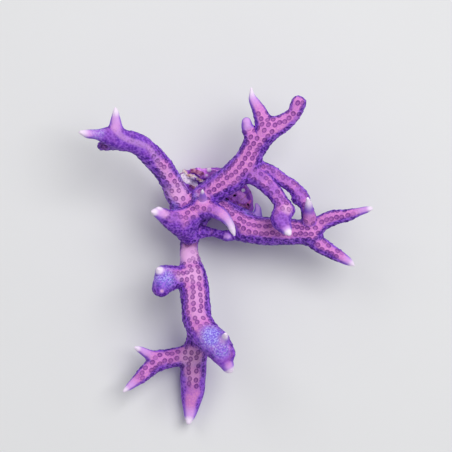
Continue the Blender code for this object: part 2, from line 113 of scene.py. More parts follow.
# Each limb is a name, the limb that it grows from, and stations along its axis: x, y, z and radius.
LIMBS = {
    "stem": (None, [
        (-1.0, 0.2, 5.0, 4.2), (-1.5, 0.0, 8.5, 3.4), (-2.0, -0.2, 12.5, 3.2), (-2.2, -0.2, 15.6, 3.0)]),
    "neck": ("stem", [
        (-3.0, -1.2, 15.6, 2.8), (-6.1, -4.4, 15.8, 2.95), (-6.7, -7.0, 14.6, 2.8),
        (-6.1, -8.9, 13.4, 2.3)]),
    "horn": ("neck", [
        (-5.4, -4.3, 17.2, 2.4), (-7.6, -6.0, 16.8, 3.0), (-9.0, -5.5, 17.4, 2.8), (-11.0, -4.5, 18.6, 2.1),
        (-13.0, -3.6, 20.0, 1.4), (-14.3, -3.0, 21.1, 0.85), (-14.9, -2.85, 21.8, 0.4)]),
    "horn_barb": ("horn", [(-12.4, -3.4, 19.8, 1.0), (-13.4, -2.1, 20.9, 0.35)]),
    "brow": ("stem", [(-2.0, -1.6, 16.8, 2.8), (-5.6, -3.4, 17.4, 2.3), (-9.0, -4.9, 17.8, 2.2)]),
    "curved_spike": ("brow", [
        (-2.4, -1.5, 18.0, 2.3), (0.75, -2.8, 19.8, 1.9), (2.75, -4.1, 20.6, 1.45), (4.25, -5.8, 20.8, 1.05),
        (5.0, -7.5, 20.5, 0.7), (5.4, -8.7, 20.2, 0.3)]),
    "crown_spike": ("brow", [
        (-2.3, -0.6, 18.0, 1.2), (-2.4, 0.8, 20.6, 0.8), (-2.5, 1.9, 22.4, 0.55), (-2.5, 2.4, 23.2, 0.3)]),
    "left_arm": ("stem", [
        (-3.6, -1.0, 14.4, 2.8), (-7.4, -0.4, 14.2, 3.1), (-9.0, 1.9, 14.9, 3.0), (-10.4, 4.75, 16.2, 2.7),
        (-12.9, 8.6, 18.2, 2.75), (-15.6, 11.4, 20.0, 2.8), (-17.6, 13.3, 21.2, 2.65),
        (-20.5, 14.6, 22.2, 2.6), (-24.0, 15.3, 23.0, 2.4), (-26.0, 15.8, 23.3, 1.9)]),
    "left_tip": ("left_arm", [
        (-25.6, 15.8, 23.2, 1.8), (-29.0, 16.3, 24.0, 1.2), (-31.0, 16.4, 24.6, 1.0),
        (-32.4, 16.7, 25.1, 0.6), (-33.0, 16.75, 25.3, 0.25)]),
    "left_spike": ("left_arm", [
        (-23.8, 15.4, 22.8, 2.0), (-24.0, 18.6, 23.6, 1.5), (-24.0, 20.2, 24.2, 1.15),
        (-24.0, 21.6, 24.7, 0.75), (-24.1, 22.6, 25.0, 0.3)]),
    "left_lobe": ("left_arm", [(-22.5, 14.4, 21.6, 1.9), (-25.4, 13.7, 20.2, 1.3), (-27.5, 13.5, 19.4, 1.1)]),
    "upper_arm": ("stem", [
        (-2.0, 0.8, 15.9, 3.0), (1.0, 3.0, 17.0, 3.2), (4.75, 5.5, 18.2, 3.4), (8.0, 8.75, 19.2, 3.3),
        (10.0, 12.4, 20.0, 3.0), (12.0, 15.25, 20.8, 2.85), (14.0, 17.75, 21.4, 2.75)]),
    "blunt_tine": ("upper_arm", [
        (13.4, 17.3, 21.3, 2.7), (17.25, 19.0, 21.8, 2.2), (20.0, 21.1, 22.3, 1.75), (21.1, 23.4, 22.8, 1.8),
        (21.4, 24.1, 22.9, 1.8)]),
    "sharp_tine": ("upper_arm", [
        (13.3, 18.0, 21.2, 2.3), (11.9, 21.7, 21.2, 1.75), (10.8, 23.7, 21.3, 1.4), (10.1, 25.0, 21.4, 1.05),
        (9.8, 26.2, 21.5, 0.7), (9.65, 27.7, 21.6, 0.35)]),
    "stub_tine": ("upper_arm", [(10.8, 14.4, 20.6, 2.1), (8.9, 17.4, 21.6, 1.6), (8.4, 19.4, 22.6, 1.15)]),
    "inner_branch": ("upper_arm", [
        (7.6, 8.0, 18.8, 2.7), (12.4, 4.9, 18.9, 2.4), (14.9, 2.5, 19.2, 2.0), (16.75, -0.1, 19.8, 1.9),
        (17.9, -2.3, 20.6, 1.9)]),
    "knuckle": ("inner_branch", [(17.6, -2.4, 20.4, 1.9), (18.8, -2.9, 20.4, 1.5)]),
    "finger": ("inner_branch", [
        (17.8, -2.4, 20.5, 2.0), (17.1, -4.7, 21.2, 2.6), (17.5, -5.9, 22.2, 2.1), (18.3, -7.2, 23.3, 1.4),
        (19.0, -8.3, 24.3, 0.7)]),
    "outer_branch": ("upper_arm", [
        (9.6, 8.4, 18.6, 2.4), (14.5, 6.7, 17.2, 1.9), (17.75, 4.8, 16.4, 1.65), (20.25, 3.1, 15.8, 1.65),
        (22.2, 0.9, 15.2, 1.75), (23.6, -2.2, 14.8, 1.6), (24.4, -5.4, 14.2, 1.9)]),
    "outer_bump": ("outer_branch", [(21.8, 0.6, 15.2, 1.2), (20.8, -0.1, 15.2, 0.8)]),
    "right_arm": ("stem", [
        (-1.0, -0.8, 13.2, 2.8), (2.3, -2.6, 12.6, 2.3), (6.2, -5.3, 12.5, 2.75), (9.5, -7.2, 12.8, 3.35),
        (14.5, -7.75, 13.1, 3.45), (19.5, -7.9, 13.5, 3.2), (22.75, -7.9, 13.9, 2.95),
        (24.8, -7.75, 14.2, 2.6)]),
    "high_tine": ("right_arm", [
        (24.4, -7.4, 14.2, 2.5), (28.0, -5.3, 15.0, 1.95), (30.75, -4.3, 15.9, 1.85),
        (33.25, -3.9, 16.9, 1.5), (35.75, -3.2, 17.9, 1.15), (37.9, -2.6, 18.8, 0.9),
        (39.2, -2.2, 19.4, 0.6), (39.75, -2.1, 19.6, 0.25)]),
    "low_tine": ("right_arm", [
        (24.0, -8.4, 14.0, 2.5), (26.2, -10.6, 13.6, 2.15), (28.75, -12.3, 13.0, 1.85),
        (31.4, -13.8, 12.5, 1.5), (33.4, -15.1, 12.1, 1.1), (34.6, -15.8, 11.9, 0.75),
        (35.3, -16.3, 11.8, 0.3)]),
    "right_spike": ("right_arm", [
        (24.4, -6.0, 15.4, 1.8), (24.1, -3.3, 18.4, 1.35), (23.9, -1.3, 20.6, 0.95),
        (23.65, 0.3, 22.4, 0.45)]),
    "flange": ("right_arm", [(3.0, -2.2, 11.4, 2.2), (7.0, -3.4, 10.8, 1.7), (10.8, -4.6, 10.8, 1.1)]),
    "leaf": ("flange", [(11.2, -4.3, 11.0, 1.0), (11.4, -2.5, 11.8, 0.8), (11.0, -1.1, 12.4, 0.3)]),
    "under_bridge": ("neck", [
        (-5.8, -8.1, 13.4, 2.2), (-2.1, -7.9, 12.8, 1.45), (0.0, -8.1, 12.4, 1.0), (2.35, -8.6, 11.9, 0.95),
        (3.9, -8.8, 11.7, 1.15), (7.6, -8.2, 12.2, 2.0)]),
    "bridge_nub": ("under_bridge", [(3.6, -9.1, 12.2, 0.75), (3.8, -9.4, 13.1, 0.4)]),
    "column": ("stem", [
        (-1.8, -1.6, 10.2, 2.9), (-4.4, -5.6, 8.9, 2.4), (-5.6, -9.4, 8.0, 2.15), (-5.9, -12.5, 9.4, 2.2),
        (-5.6, -15.5, 11.2, 2.6), (-4.9, -19.0, 12.6, 3.2), (-4.5, -22.5, 13.8, 3.6),
        (-4.2, -26.0, 14.9, 3.6), (-3.8, -29.5, 16.1, 3.6), (-2.5, -32.5, 17.6, 3.7),
        (0.0, -35.0, 19.4, 3.6), (2.0, -37.5, 20.4, 3.1), (3.1, -39.9, 20.6, 2.0), (3.9, -41.5, 20.4, 1.5),
        (4.4, -42.3, 20.2, 0.8)]),
    "foot_spike": ("column", [(1.8, -35.8, 20.8, 2.0), (2.9, -34.2, 23.4, 1.0), (3.2, -33.3, 25.2, 0.4)]),
    "foot_lobe": ("column", [(3.0, -37.0, 20.6, 1.8), (4.5, -38.3, 20.8, 0.75)]),
    "stub": ("column", [(-5.2, -19.2, 12.8, 2.9), (-8.6, -19.3, 14.4, 2.8), (-11.5, -19.5, 16.4, 2.9)]),
    "stub_high_lobe": ("stub", [
        (-10.6, -19.0, 15.8, 2.2), (-12.6, -18.0, 17.8, 1.4), (-13.4, -17.3, 19.2, 0.6)]),
    "stub_low_lobe": ("stub", [
        (-11.2, -20.1, 16.2, 2.4), (-12.5, -21.1, 17.8, 2.4), (-12.8, -21.8, 18.8, 2.3)]),
    "trailing_branch": ("column", [
        (-4.0, -29.0, 12.6, 2.8), (-3.8, -34.6, 8.0, 2.7), (-4.7, -40.0, 5.2, 3.25), (-5.0, -44.0, 4.0, 3.3),
        (-5.1, -48.0, 3.2, 2.95), (-5.4, -51.6, 3.1, 2.2), (-5.8, -54.2, 3.6, 1.4),
        (-6.1, -56.0, 4.4, 0.5)]),
    "trailing_fork": ("trailing_branch", [
        (-5.2, -39.4, 5.6, 2.6), (-8.0, -39.4, 6.0, 2.45), (-10.5, -39.8, 6.6, 2.4),
        (-13.2, -40.4, 7.2, 2.2), (-16.0, -42.6, 7.6, 1.9), (-18.5, -44.8, 8.0, 1.5),
        (-20.6, -46.6, 8.6, 1.0), (-22.2, -47.9, 9.2, 0.35)]),
    "fork_tine": ("trailing_fork", [
        (-13.4, -40.2, 7.4, 1.9), (-15.5, -39.1, 8.4, 1.35), (-17.25, -38.1, 9.4, 1.05),
        (-18.5, -37.4, 10.2, 0.75), (-19.3, -37.0, 10.8, 0.35)]),
}

# Limbs that also grow into a second limb at their far end.
FAR_JOINS = [("outer_branch", "right_arm"), ("under_bridge", "right_arm"), ("brow", "horn"),
             ("curved_spike", "stem"), ("flange", "stem"), ("horn", "brow")]

# How far each growing end is white, and how far it is lilac and free of cups.
WHITE_ENDS = {
    "horn": (1.6, 4.0), "horn_barb": (1.0, 2.4), "curved_spike": (5.0, 8.0), "crown_spike": (1.5, 5.2),
    "left_tip": (2.8, 4.2), "left_spike": (2.4, 6.5), "sharp_tine": (3.0, 6.0), "stub_tine": (0.0, 2.2),
    "finger": (1.0, 1.8), "right_spike": (4.0, 6.5), "high_tine": (1.6, 5.0), "low_tine": (2.0, 4.5),
    "leaf": (0.0, 4.0), "foot_spike": (2.2, 3.4), "column": (0.9, 2.6), "stub_high_lobe": (0.7, 1.4),
    "fork_tine": (1.6, 5.5), "trailing_fork": (1.6, 5.0), "trailing_branch": (1.6, 5.0),
    "bridge_nub": (0.0, 1.0),
}

# Where the skin is parted: the limb that is cut, how far along its path from 0 to 1, and the cut's radius.
PARTINGS = {
    "front_horn": ("horn", 0.50, 3.8),
    "curved_spike": ("curved_spike", 0.27, 3.0),
    "left_arm": ("left_arm", 0.20, 4.2),
    "upper_arm": ("upper_arm", 0.20, 4.4),
    "blunt_tine": ("blunt_tine", 0.30, 3.3),
    "sharp_tine": ("sharp_tine", 0.33, 2.7),
    "twin_branches": ("inner_branch", 0.23, 4.7),
    "outer_branch": ("outer_branch", 0.45, 2.3),
    "outer_branch_end": ("outer_branch", 0.79, 2.3),
    "right_arm": ("right_arm", 0.18, 4.7),
    "high_tine": ("high_tine", 0.28, 3.0),
    "low_tine": ("low_tine", 0.34, 3.0),
    "under_bridge": ("under_bridge", 0.30, 2.2),
    "column": ("column", 0.20, 3.0),
    "column_stub": ("stub", 0.62, 4.1),
    "trailing_branch": ("trailing_branch", 0.30, 4.0),
    "trailing_fork": ("trailing_fork", 0.24, 3.4),
}

# A point well inside each piece, by which the parted skin gets its names: a limb and how far along.
PIECES = {
    "coral_stem": ("stem", 0.5),
    "front_horn": ("horn", 0.75),
    "curved_spike": ("curved_spike", 0.5),
    "left_arm": ("left_arm", 0.5),
    "upper_arm": ("upper_arm", 0.55),
    "blunt_tine": ("blunt_tine", 0.65),
    "sharp_tine": ("sharp_tine", 0.55),
    "inner_branch": ("inner_branch", 0.75),
    "outer_branch": ("outer_branch", 0.62),
    "right_arm": ("right_arm", 0.65),
    "high_tine": ("high_tine", 0.55),
    "low_tine": ("low_tine", 0.6),
    "column": ("column", 0.5),
    "column_stub": ("stub", 0.95),
    "trailing_branch": ("trailing_branch", 0.6),
    "trailing_fork": ("trailing_fork", 0.6),
}

# Soft balls of colour on the skin: x, y, z, radius and strength. The plain ones are free of cups and nearly
# free of stipple. The rosy ones take the pink of the lit top whatever way they face, partly the tissue's own
# pink and partly painted light. The pale ones lighten the tissue; those on the trailing branch, pale and
# rosy, are painted light where the foot's shadow falls on it. The brownish ones are painted shade and shadow.
PATCHES = {
    "pale": [
        (-5.6, -13.5, 12.0, 4.6, 1.0), (-4.6, -18.5, 16.6, 3.4, 0.7), (-4.0, -24.0, 18.0, 3.4, 0.45),
        (-3.6, -28.0, 19.4, 3.0, 0.45), (-8.0, -19.2, 17.4, 2.0, 0.6), (18.4, -2.4, 22.3, 1.9, 0.8),
        (-8.8, 2.4, 17.6, 4.4, 0.7), (-11.6, 6.6, 20.4, 2.6, 0.45), (-2.4, 0.9, 21.0, 2.4, 0.9),
        (1.2, -33.8, 23.6, 2.2, 0.7), (-11.8, -3.4, 20.8, 1.6, 0.6), (-12.6, -22.6, 20.8, 0.7, 1.0),
        # These two, on the trailing branch, are painted light where the foot's shadow falls on it.
        (-5.4, -39.6, 8.4, 4.0, 0.7), (-5.2, -44.0, 7.4, 3.0, 0.4)],
    "cool": [
        # Bluish tissue, whose light grains are partly painted highlights, as on the foot.
        (0.0, -34.0, 22.4, 4.6, 1.0), (2.0, -37.0, 23.4, 3.4, 0.75), (-12.2, -19.6, 18.6, 4.2, 0.8),
        (-7.0, 6.6, 17.4, 2.4, 0.7), (-9.6, -1.8, 17.6, 2.2, 0.6), (-4.6, 1.0, 18.6, 1.8, 0.5),
        (11.3, -2.6, 12.2, 2.4, 0.8), (4.6, -3.4, 13.2, 2.0, 0.6), (8.2, -4.0, 12.2, 2.2, 0.7),
        (-28.6, 16.8, 25.0, 2.8, 0.6)],
    "violet": [
        (-14.4, 9.2, 20.8, 2.2, 0.4), (-15.8, 11.4, 22.5, 4.4, 0.8), (-18.5, 13.6, 24.0, 5.2, 1.0),
        (-22.0, 14.8, 24.6, 4.8, 0.95), (-25.6, 15.3, 24.6, 3.8, 0.85), (-26.5, 13.6, 20.0, 3.0, 1.0),
        (-6.0, -7.5, 17.0, 4.4, 1.0), (-9.4, -6.6, 19.0, 3.6, 0.95), (-10.0, -4.6, 20.0, 3.0, 0.6),
        (-4.5, -5.6, 18.5, 3.0, 0.8), (-2.0, -8.0, 13.5, 3.0, 1.0), (1.5, -8.3, 13.0, 3.0, 1.0),
        (4.5, -8.8, 12.8, 2.6, 0.9), (17.3, -5.2, 23.6, 3.6, 0.75), (18.2, -7.0, 24.6, 2.2, 0.6),
        (2.4, -38.6, 22.6, 3.6, 0.8), (-1.6, -33.0, 20.4, 2.8, 0.5), (-11.8, -20.6, 19.0, 3.8, 1.0),
        (-12.6, -21.6, 20.6, 3.4, 1.0), (11.4, 6.2, 21.2, 3.2, 0.45), (14.8, 2.6, 21.2, 2.8, 0.5),
        (16.6, 0.0, 21.6, 2.6, 0.35), (14.4, 6.8, 19.0, 2.8, 0.45), (18.6, 4.4, 18.0, 2.8, 0.35),
        (21.6, 1.6, 17.0, 2.8, 0.45), (0.2, -2.6, 21.4, 2.6, 0.35)],
    "rosy": [
        # Partly the tissue's own pink, partly painted light; the three at y -38.6 to -48.0, on the trailing
        # branch, are painted light where the foot's shadow falls on it.
        (24.2, -4.6, 18.4, 3.2, 1.0), (20.0, 21.2, 23.6, 2.6, 0.6), (21.3, 23.6, 24.4, 1.6, 0.5),
        (9.0, 17.0, 22.8, 1.6, 0.5), (-5.2, -38.6, 8.6, 3.2, 1.0), (-5.2, -43.0, 7.4, 3.0, 1.0),
        (-4.8, -48.0, 6.4, 2.6, 0.8), (9.4, 11.4, 23.2, 3.0, 0.6)],
    "painted_shadow": [
        # Painted shade and shadow: the band on the column under the neck, the finger's shadow on the right
        # arm, and darker folds.
        (-6.0, -10.6, 10.4, 2.0, 0.9), (-4.6, -10.8, 10.2, 1.6, 0.7), (-4.2, -32.4, 19.0, 1.8, 0.6),
        (-26.8, 13.6, 20.6, 1.6, 0.7), (12.6, -6.2, 16.2, 2.4, 0.35)],
    "plain": [
        (-6.8, -14.0, 12.0, 3.4, 1.0), (-4.6, -11.4, 11.0, 2.4, 1.0), (-2.4, -33.6, 20.4, 3.4, 0.9),
        (0.0, -36.0, 22.4, 5.0, 1.0), (2.6, -39.6, 22.4, 4.6, 1.0), (-12.6, -20.4, 19.0, 3.8, 1.0),
        (-28.6, 16.4, 24.4, 3.6, 1.0), (-23.6, 15.0, 24.4, 5.0, 0.9), (-18.4, 13.2, 23.6, 5.0, 0.75),
        (-9.6, -5.6, 19.4, 2.6, 0.5), (-3.0, -33.6, 19.0, 3.0, 0.8), (18.0, -5.2, 23.4, 4.0, 0.9)],
}
# The pale vein on the left arm, as stations: x, y, z and radius.
PALE_VEIN = [
        (-12.4, 8.0, 20.8, 1.6), (-14.5, 11.0, 22.2, 1.2), (-15.9, 12.9, 23.1, 1.0),
        (-18.0, 13.9, 24.1, 1.2), (-20.6, 14.8, 24.8, 1.1), (-22.6, 15.9, 25.2, 1.2),
        (-24.0, 17.6, 25.0, 1.3)]
VEIN_STRENGTH = 0.42

# The stone's crust, as strokes: x and y of both ends, radius and strength.
CRUST_STROKES = {
    "bright": [(-2.6, 7.4, 1.2, 6.4, 1.7, 1.0), (4.6, 2.0, 7.6, 0.4, 1.5, 0.62)],
    "rose": [
        (-5.7, 4.5, -4.4, 3.4, 0.7, 1.0), (-8.0, 7.2, -7.4, 8.0, 0.6, 0.8),
        (8.6, -1.4, 9.3, -0.4, 0.6, 0.6)],
    "white": [(-7.8, 5.8, -4.8, 4.2, 1.0, 1.0), (-6.8, 6.2, -5.6, 5.4, 0.6, 1.0)],
    "brown": [
        (-5.2, 7.5, -2.6, 6.7, 0.6, 1.0), (3.0, -0.2, 5.9, -1.2, 0.5, 0.45),
        (5.9, -1.2, 8.8, -1.6, 0.7, 0.5), (-5.4, 3.4, -5.0, 3.3, 0.4, 1.0), (7.4, 0.2, 8.6, 1.4, 0.3, 0.45)],
    "cream": [
        (-7.7, 7.9, -6.4, 6.4, 0.42, 1.0), (-6.4, 6.4, -4.5, 5.9, 0.45, 1.0),
        (-4.5, 5.9, -2.2, 4.5, 0.42, 1.0)],
    "spot": [
        (-0.9, 7.6, -0.9, 7.6, 0.62, 1.0), (-1.5, 6.3, -1.5, 6.3, 0.35, 0.7),
        (7.7, 2.5, 7.7, 2.5, 0.55, 0.8)],
    "hole": [
        (5.3, 1.1, 5.6, 1.2, 0.3, 1.0), (3.4, 0.4, 3.8, 0.2, 0.3, 0.8), (8.8, -1.0, 9.0, -1.3, 0.3, 0.7)],
}
# How far each kind of crust stands out.
CRUST_HEIGHTS = {
    "bright": 0.2, "rose": 0.2, "white": 0.25, "brown": 0.6, "cream": 0.75, "spot": 0.35, "hole": -0.9,
}


def smooth_step(value, low, high):
    """0 below low, 1 above high, and a cubic ease between them."""
    share = np.clip((value - low) / (high - low), 0, 1)
    return share * share * (3 - 2 * share)


def smooth_path(stations):
    """Stations joined by a Catmull-Rom curve, as rows of x, y, z and radius."""
    rows = np.array(stations, float)
    ends = np.vstack([2 * rows[0] - rows[1], rows, 2 * rows[-1] - rows[-2]])
    steps = np.linspace(0, 1, PATH_POINTS_PER_SPAN, endpoint=False)[:, None]
    spans = []
    for before, start, end, after in zip(ends, ends[1:], ends[2:], ends[3:]):
        spans.append(0.5 * (2 * start + (end - before) * steps
                            + (2 * before - 5 * start + 4 * end - after) * steps**2
                            + (3 * start - before - 3 * end + after) * steps**3))
    path = np.vstack([*spans, rows[-1:]])
    path[:, 3] = np.maximum(path[:, 3], rows[:, 3].min() * 0.9)
    return path


PATHS = {name: smooth_path(stations) for name, (_, stations) in LIMBS.items()}
JOINS = [(name, parent) for name, (parent, _) in LIMBS.items() if parent] + FAR_JOINS


def along(limb, share):
    """The point, direction and radius at shares of a limb's path, measured by length."""
    path = PATHS[limb]
    lengths = np.linalg.norm(np.diff(path[:, :3], axis=0), axis=1)
    marks = np.concatenate([[0], np.cumsum(lengths)]) / lengths.sum()
    share = np.atleast_1d(share)
    rows = np.stack([np.interp(share, marks, path[:, k]) for k in range(4)], 1)
    span = np.minimum(np.searchsorted(marks, share, side="right"), len(lengths)) - 1
    return rows[:, :3], (path[span + 1, :3] - path[span, :3]) / lengths[span, None], rows[:, 3]


def limb_distance(points, path):
    """Distance from each point to a tapering round bar, less than 0 inside, and its outward direction."""
    start, end = path[:-1], path[1:]
    run = end[:, :3] - start[:, :3]
    offset = points[:, None, :] - start[None, :, :3]
    share = np.clip((offset * run).sum(2) / (run * run).sum(1), 0, 1)
    away = offset - share[..., None] * run
    reach = np.linalg.norm(away, axis=2)
    distance = reach - (start[:, 3] + share * (end[:, 3] - start[:, 3]))
    nearest = distance.argmin(1)
    rows = np.arange(len(points))
    return distance[rows, nearest], away[rows, nearest] / np.maximum(reach[rows, nearest], 1e-6)[:, None]


def lumps(points):
    """Slow swellings: the mean of three sine waves that run in different directions."""
    waves = np.array([(1.05, 0.45, 0.3), (-0.4, 1.2, 0.6), (0.5, -0.65, 1.1)])
    return LUMP_HEIGHT * np.sin(points @ waves.T).mean(1)


def coral_distance(points, margin=3.0):
    """Distance from points to the coral's surface, its outward direction, and each limb's own distance.

    A limb is measured only for the points near its box. Two limbs that join are blended by a soft web:
    the smaller distance, less a quarter of BLEND times the square of how nearly they are equal.
    """
    count = len(points)
    own, ways = {}, {}
    best = np.full(count, FAR)
    heading = np.zeros((count, 3))
    for name, path in PATHS.items():
        reach = path[:, 3].max() + margin
        low, high = path[:, :3].min(0) - reach, path[:, :3].max(0) + reach
        near = np.flatnonzero(((points > low) & (points < high)).all(1))
        own[name] = np.full(count, FAR)
        ways[name] = np.zeros((count, 3))
        if len(near):
            own[name][near], ways[name][near] = limb_distance(points[near], path)
        closer = own[name] < best
        best[closer], heading[closer] = own[name][closer], ways[name][closer]
    for first, second in JOINS:
        near = np.flatnonzero((own[first] < FAR) & (own[second] < FAR))
        a, b = own[first][near], own[second][near]
        lean = np.clip((b - a) / BLEND, -1, 1)
        joined = np.minimum(a, b) - BLEND * (1 - abs(lean)) ** 2 / 4
        share = (0.5 + 0.5 * lean)[:, None]
        way = share * ways[first][near] + (1 - share) * ways[second][near]
        closer = joined < best[near]
        best[near[closer]], heading[near[closer]] = joined[closer], way[closer]
    return best - lumps(points), heading, own


def drawn_onto_form(points, rounds=3):
    """Moves points onto the coral's surface, along the outward direction, in a few steps."""
    for _ in range(rounds):
        parts = [coral_distance(part)[:2] for part in np.array_split(points, max(1, len(points) // 30000))]
        distance = np.concatenate([part[0] for part in parts])
        heading = np.concatenate([part[1] for part in parts])
        points = points - distance[:, None] * heading
    return points


def path_frames(path):
    """The direction along a path, and two directions across it that don't twist."""
    ahead = np.gradient(path[:, :3], axis=0)
    ahead /= np.linalg.norm(ahead, axis=1)[:, None]
    flattest = np.linalg.svd(path[:, :3] - path[:, :3].mean(0))[2][-1]
    side = np.cross(ahead, flattest)
    side /= np.linalg.norm(side, axis=1)[:, None]
    return ahead, side, np.cross(ahead, side)


def ring_faces(rings, columns):
    """The faces of a closed skin of rings: quads from ring to ring, and triangles to a pole at each end.

    The poles are the two points that follow those of the rings.
    """
    column = np.arange(columns)
    after = np.roll(column, -1)
    low = np.arange(rings - 1)[:, None] * columns
    walls = np.stack([low + column, low + columns + column, low + columns + after, low + after], 2)
    pole, last = rings * columns, (rings - 1) * columns
    fans = np.vstack([np.stack([np.full(columns, pole), column, after], 1),
                      np.stack([np.full(columns, pole + 1), last + after, last + column], 1)])
    return walls.reshape(-1, 4), fans


def tube(path):
    """A closed tube round a path: rings of RING_SIDES points, with a round cap and a pole at each end.

    On a cap, a ring at an angle of lean is moved out by the radius times its sine, and shrunk by its cosine.
    """
    ahead, side, other = path_frames(path)
    turn = np.linspace(0, 2 * math.pi, RING_SIDES, endpoint=False)
    rise = np.linspace(0, math.pi / 2, CAP_RINGS + 1)[1:-1]
    rows = np.concatenate([np.zeros(len(rise), int), np.arange(len(path)), np.full(len(rise), len(path) - 1)])
    lean = np.concatenate([-rise[::-1], np.zeros(len(path)), rise])
    centres = path[rows, :3] + (path[rows, 3] * np.sin(lean))[:, None] * ahead[rows]
    radii = path[rows, 3] * np.cos(lean)
    across = np.cos(turn)[:, None] * side[rows, None] + np.sin(turn)[:, None] * other[rows, None]
    rings = centres[:, None] + radii[:, None, None] * across
    poles = [path[0, :3] - path[0, 3] * ahead[0], path[-1, :3] + path[-1, 3] * ahead[-1]]
    return np.vstack([rings.reshape(-1, 3), poles]), *ring_faces(len(rings), RING_SIDES)


def add_object(name, mesh):
    """A new object in the scene, at the origin."""
    obj = bpy.data.objects.new(name, mesh)
    bpy.context.scene.collection.objects.link(obj)
    return obj


def mesh_points(mesh):
    """A mesh's points, in millimetres."""
    places = np.empty(len(mesh.vertices) * 3, np.float32)
    mesh.vertices.foreach_get("co", places)
    return places.reshape(-1, 3).astype(float) / MM


def mesh_normals(mesh):
    """The outward direction at each of a mesh's points."""
    found = np.empty(len(mesh.vertices) * 3, np.float32)
    mesh.vertex_normals.foreach_get("vector", found)
    return found.reshape(-1, 3).astype(float)


def put_points(mesh, points):
    """Moves a mesh's points to new places, given in millimetres."""
    mesh.vertices.foreach_set("co", (points * MM).astype(np.float32).ravel())
    mesh.update()


def put_field(mesh, name, values):
    """Stores one number for each point, which a material reads by this name."""
    layer = mesh.attributes.new(name, "FLOAT", "POINT")
    layer.data.foreach_set("value", values.astype(np.float32))


def quad_corners(mesh):
    """The four corners of each face of an all-quad mesh."""
    corners = np.empty(len(mesh.loops), np.int32)
    mesh.loops.foreach_get("vertex_index", corners)
    return corners.reshape(-1, 4)


def fused_tubes(cell):
    """All limbs' tubes, fused into one closed all-quad surface on a fine grid."""
    points, faces, base = [], [], 0
    for path in PATHS.values():
        tube_points, walls, fans = tube(path)
        points.append(tube_points)
        faces += (walls + base).tolist() + (fans + base).tolist()
        base += len(tube_points)
    mesh = bpy.data.meshes.new("tubes")
    mesh.from_pydata((np.vstack(points) * MM).tolist(), [], faces)
    holder = add_object("tubes", mesh)
    fuse = holder.modifiers.new("fuse", "REMESH")
    fuse.mode = "VOXEL"
    fuse.voxel_size = cell
    fuse.use_smooth_shade = True
    bpy.context.view_layer.update()
    fused = bpy.data.meshes.new_from_object(holder.evaluated_get(bpy.context.evaluated_depsgraph_get()))
    bpy.data.objects.remove(holder)
    return fused


def kept_apart(centres, least):
    """Which points to keep so that no two are nearer than least, the earlier of two being kept."""
    keep = np.ones(len(centres), bool)
    for number in range(1, len(centres)):
        before = centres[:number][keep[:number]]
        keep[number] = (np.square(before - centres[number]).sum(1) > least * least).all()
    return keep


def cup_places(pitch, seed):
    """Where the cups sit: rows along each limb, every other row moved on by half a cup, lightly scattered.

    Returns each cup's centre, the direction that its limb grows in, and its strength from 0 to 1.
    Cups fade out towards a white end and in the plain patches. One that another limb covers, or that crowds
    an earlier one, is left out.
    """
    random = np.random.default_rng(seed)
    names, centres, growth, strength = [], [], [], []
    for name, path in PATHS.items():
        ahead, side, other = path_frames(path)
        lengths = np.concatenate([[0], np.cumsum(np.linalg.norm(np.diff(path[:, :3], axis=0), axis=1))])
        bare = WHITE_ENDS.get(name, (0.0, 0.0))[1]
        round_it = 2 * math.pi * np.percentile(path[:, 3], 65)
        count = max(4, round(round_it / (pitch * CUP_ROW_SPACING)))
        rows = np.arange(count)
        for far in np.arange(pitch * 0.3, lengths[-1] + path[-1, 3] * 0.7, pitch):
            drift = ROW_DRIFT * math.sin(far / DRIFT_LENGTH) * pitch * 2 * math.pi / round_it
            turns = rows / count * 2 * math.pi + drift + random.normal(0, ROW_SCATTER / count, count)
            at = far + pitch * (0.5 * (rows % 2) + random.normal(0, CUP_SCATTER, count))
            inside = np.clip(at, 0, lengths[-1])
            row = [np.stack([np.interp(inside, lengths, grid[:, k]) for k in range(3)], 1)
                   for grid in (path[:, :3], ahead, side, other)]
            reach = np.interp(inside, lengths, path[:, 3])
            beyond = np.clip((at - inside) / reach, 0, 1)
            out = np.cos(turns)[:, None] * row[2] + np.sin(turns)[:, None] * row[3]
            out = np.sqrt(1 - beyond**2)[:, None] * out + beyond[:, None] * row[1]
            left = lengths[-1] + path[-1, 3] - at
            names += [name] * count
            centres.append(row[0] + reach[:, None] * out)
            growth.append(row[1])
            strength.append(smooth_step(left, bare * 0.8, bare * 1.2 + 0.5) * random.uniform(0.8, 1.0, count))
    names = np.array(names)
    centres, growth, strength = np.vstack(centres), np.vstack(growth), np.concatenate(strength)
    centres = drawn_onto_form(centres, 2)
    own = coral_distance(centres)[2]
    least = np.min(list(own.values()), axis=0)
    mine = np.select([names == name for name in own], list(own.values()))
    shown = (mine < least + CUP_OVERLAP) & (strength > 0.05) & (centres[:, 2] > FOOT_HEIGHT + 0.4)
    centres, growth, strength = centres[shown], growth[shown], strength[shown]
    keep = kept_apart(centres, pitch * CUPS_APART)
    strength = strength * (1 - patch_mask(centres, PATCHES["plain"]))
    return centres[keep], growth[keep], strength[keep]


def cup_fields(points, cups):
    """Each point's distance to the nearest cup's centre, how far it lies to the growing side, and strength.

    The distance is measured in an oval that is CUP_LENGTHENING times longer along the branch than across it.
    """
    centres, growth, strength = cups
    half = (centres**2).sum(1) / 2
    parts = np.array_split(points, max(1, len(points) // 6000))
    nearest = np.concatenate([(half - part @ centres.T).argmin(1) for part in parts])
    offset = points - centres[nearest]
    far = (offset * growth[nearest]).sum(1)
    across = np.linalg.norm(offset - far[:, None] * growth[nearest], axis=1)
    distance = np.hypot(across, far / CUP_LENGTHENING)
    return distance, far / np.maximum(np.hypot(across, far), 1e-6), strength[nearest]


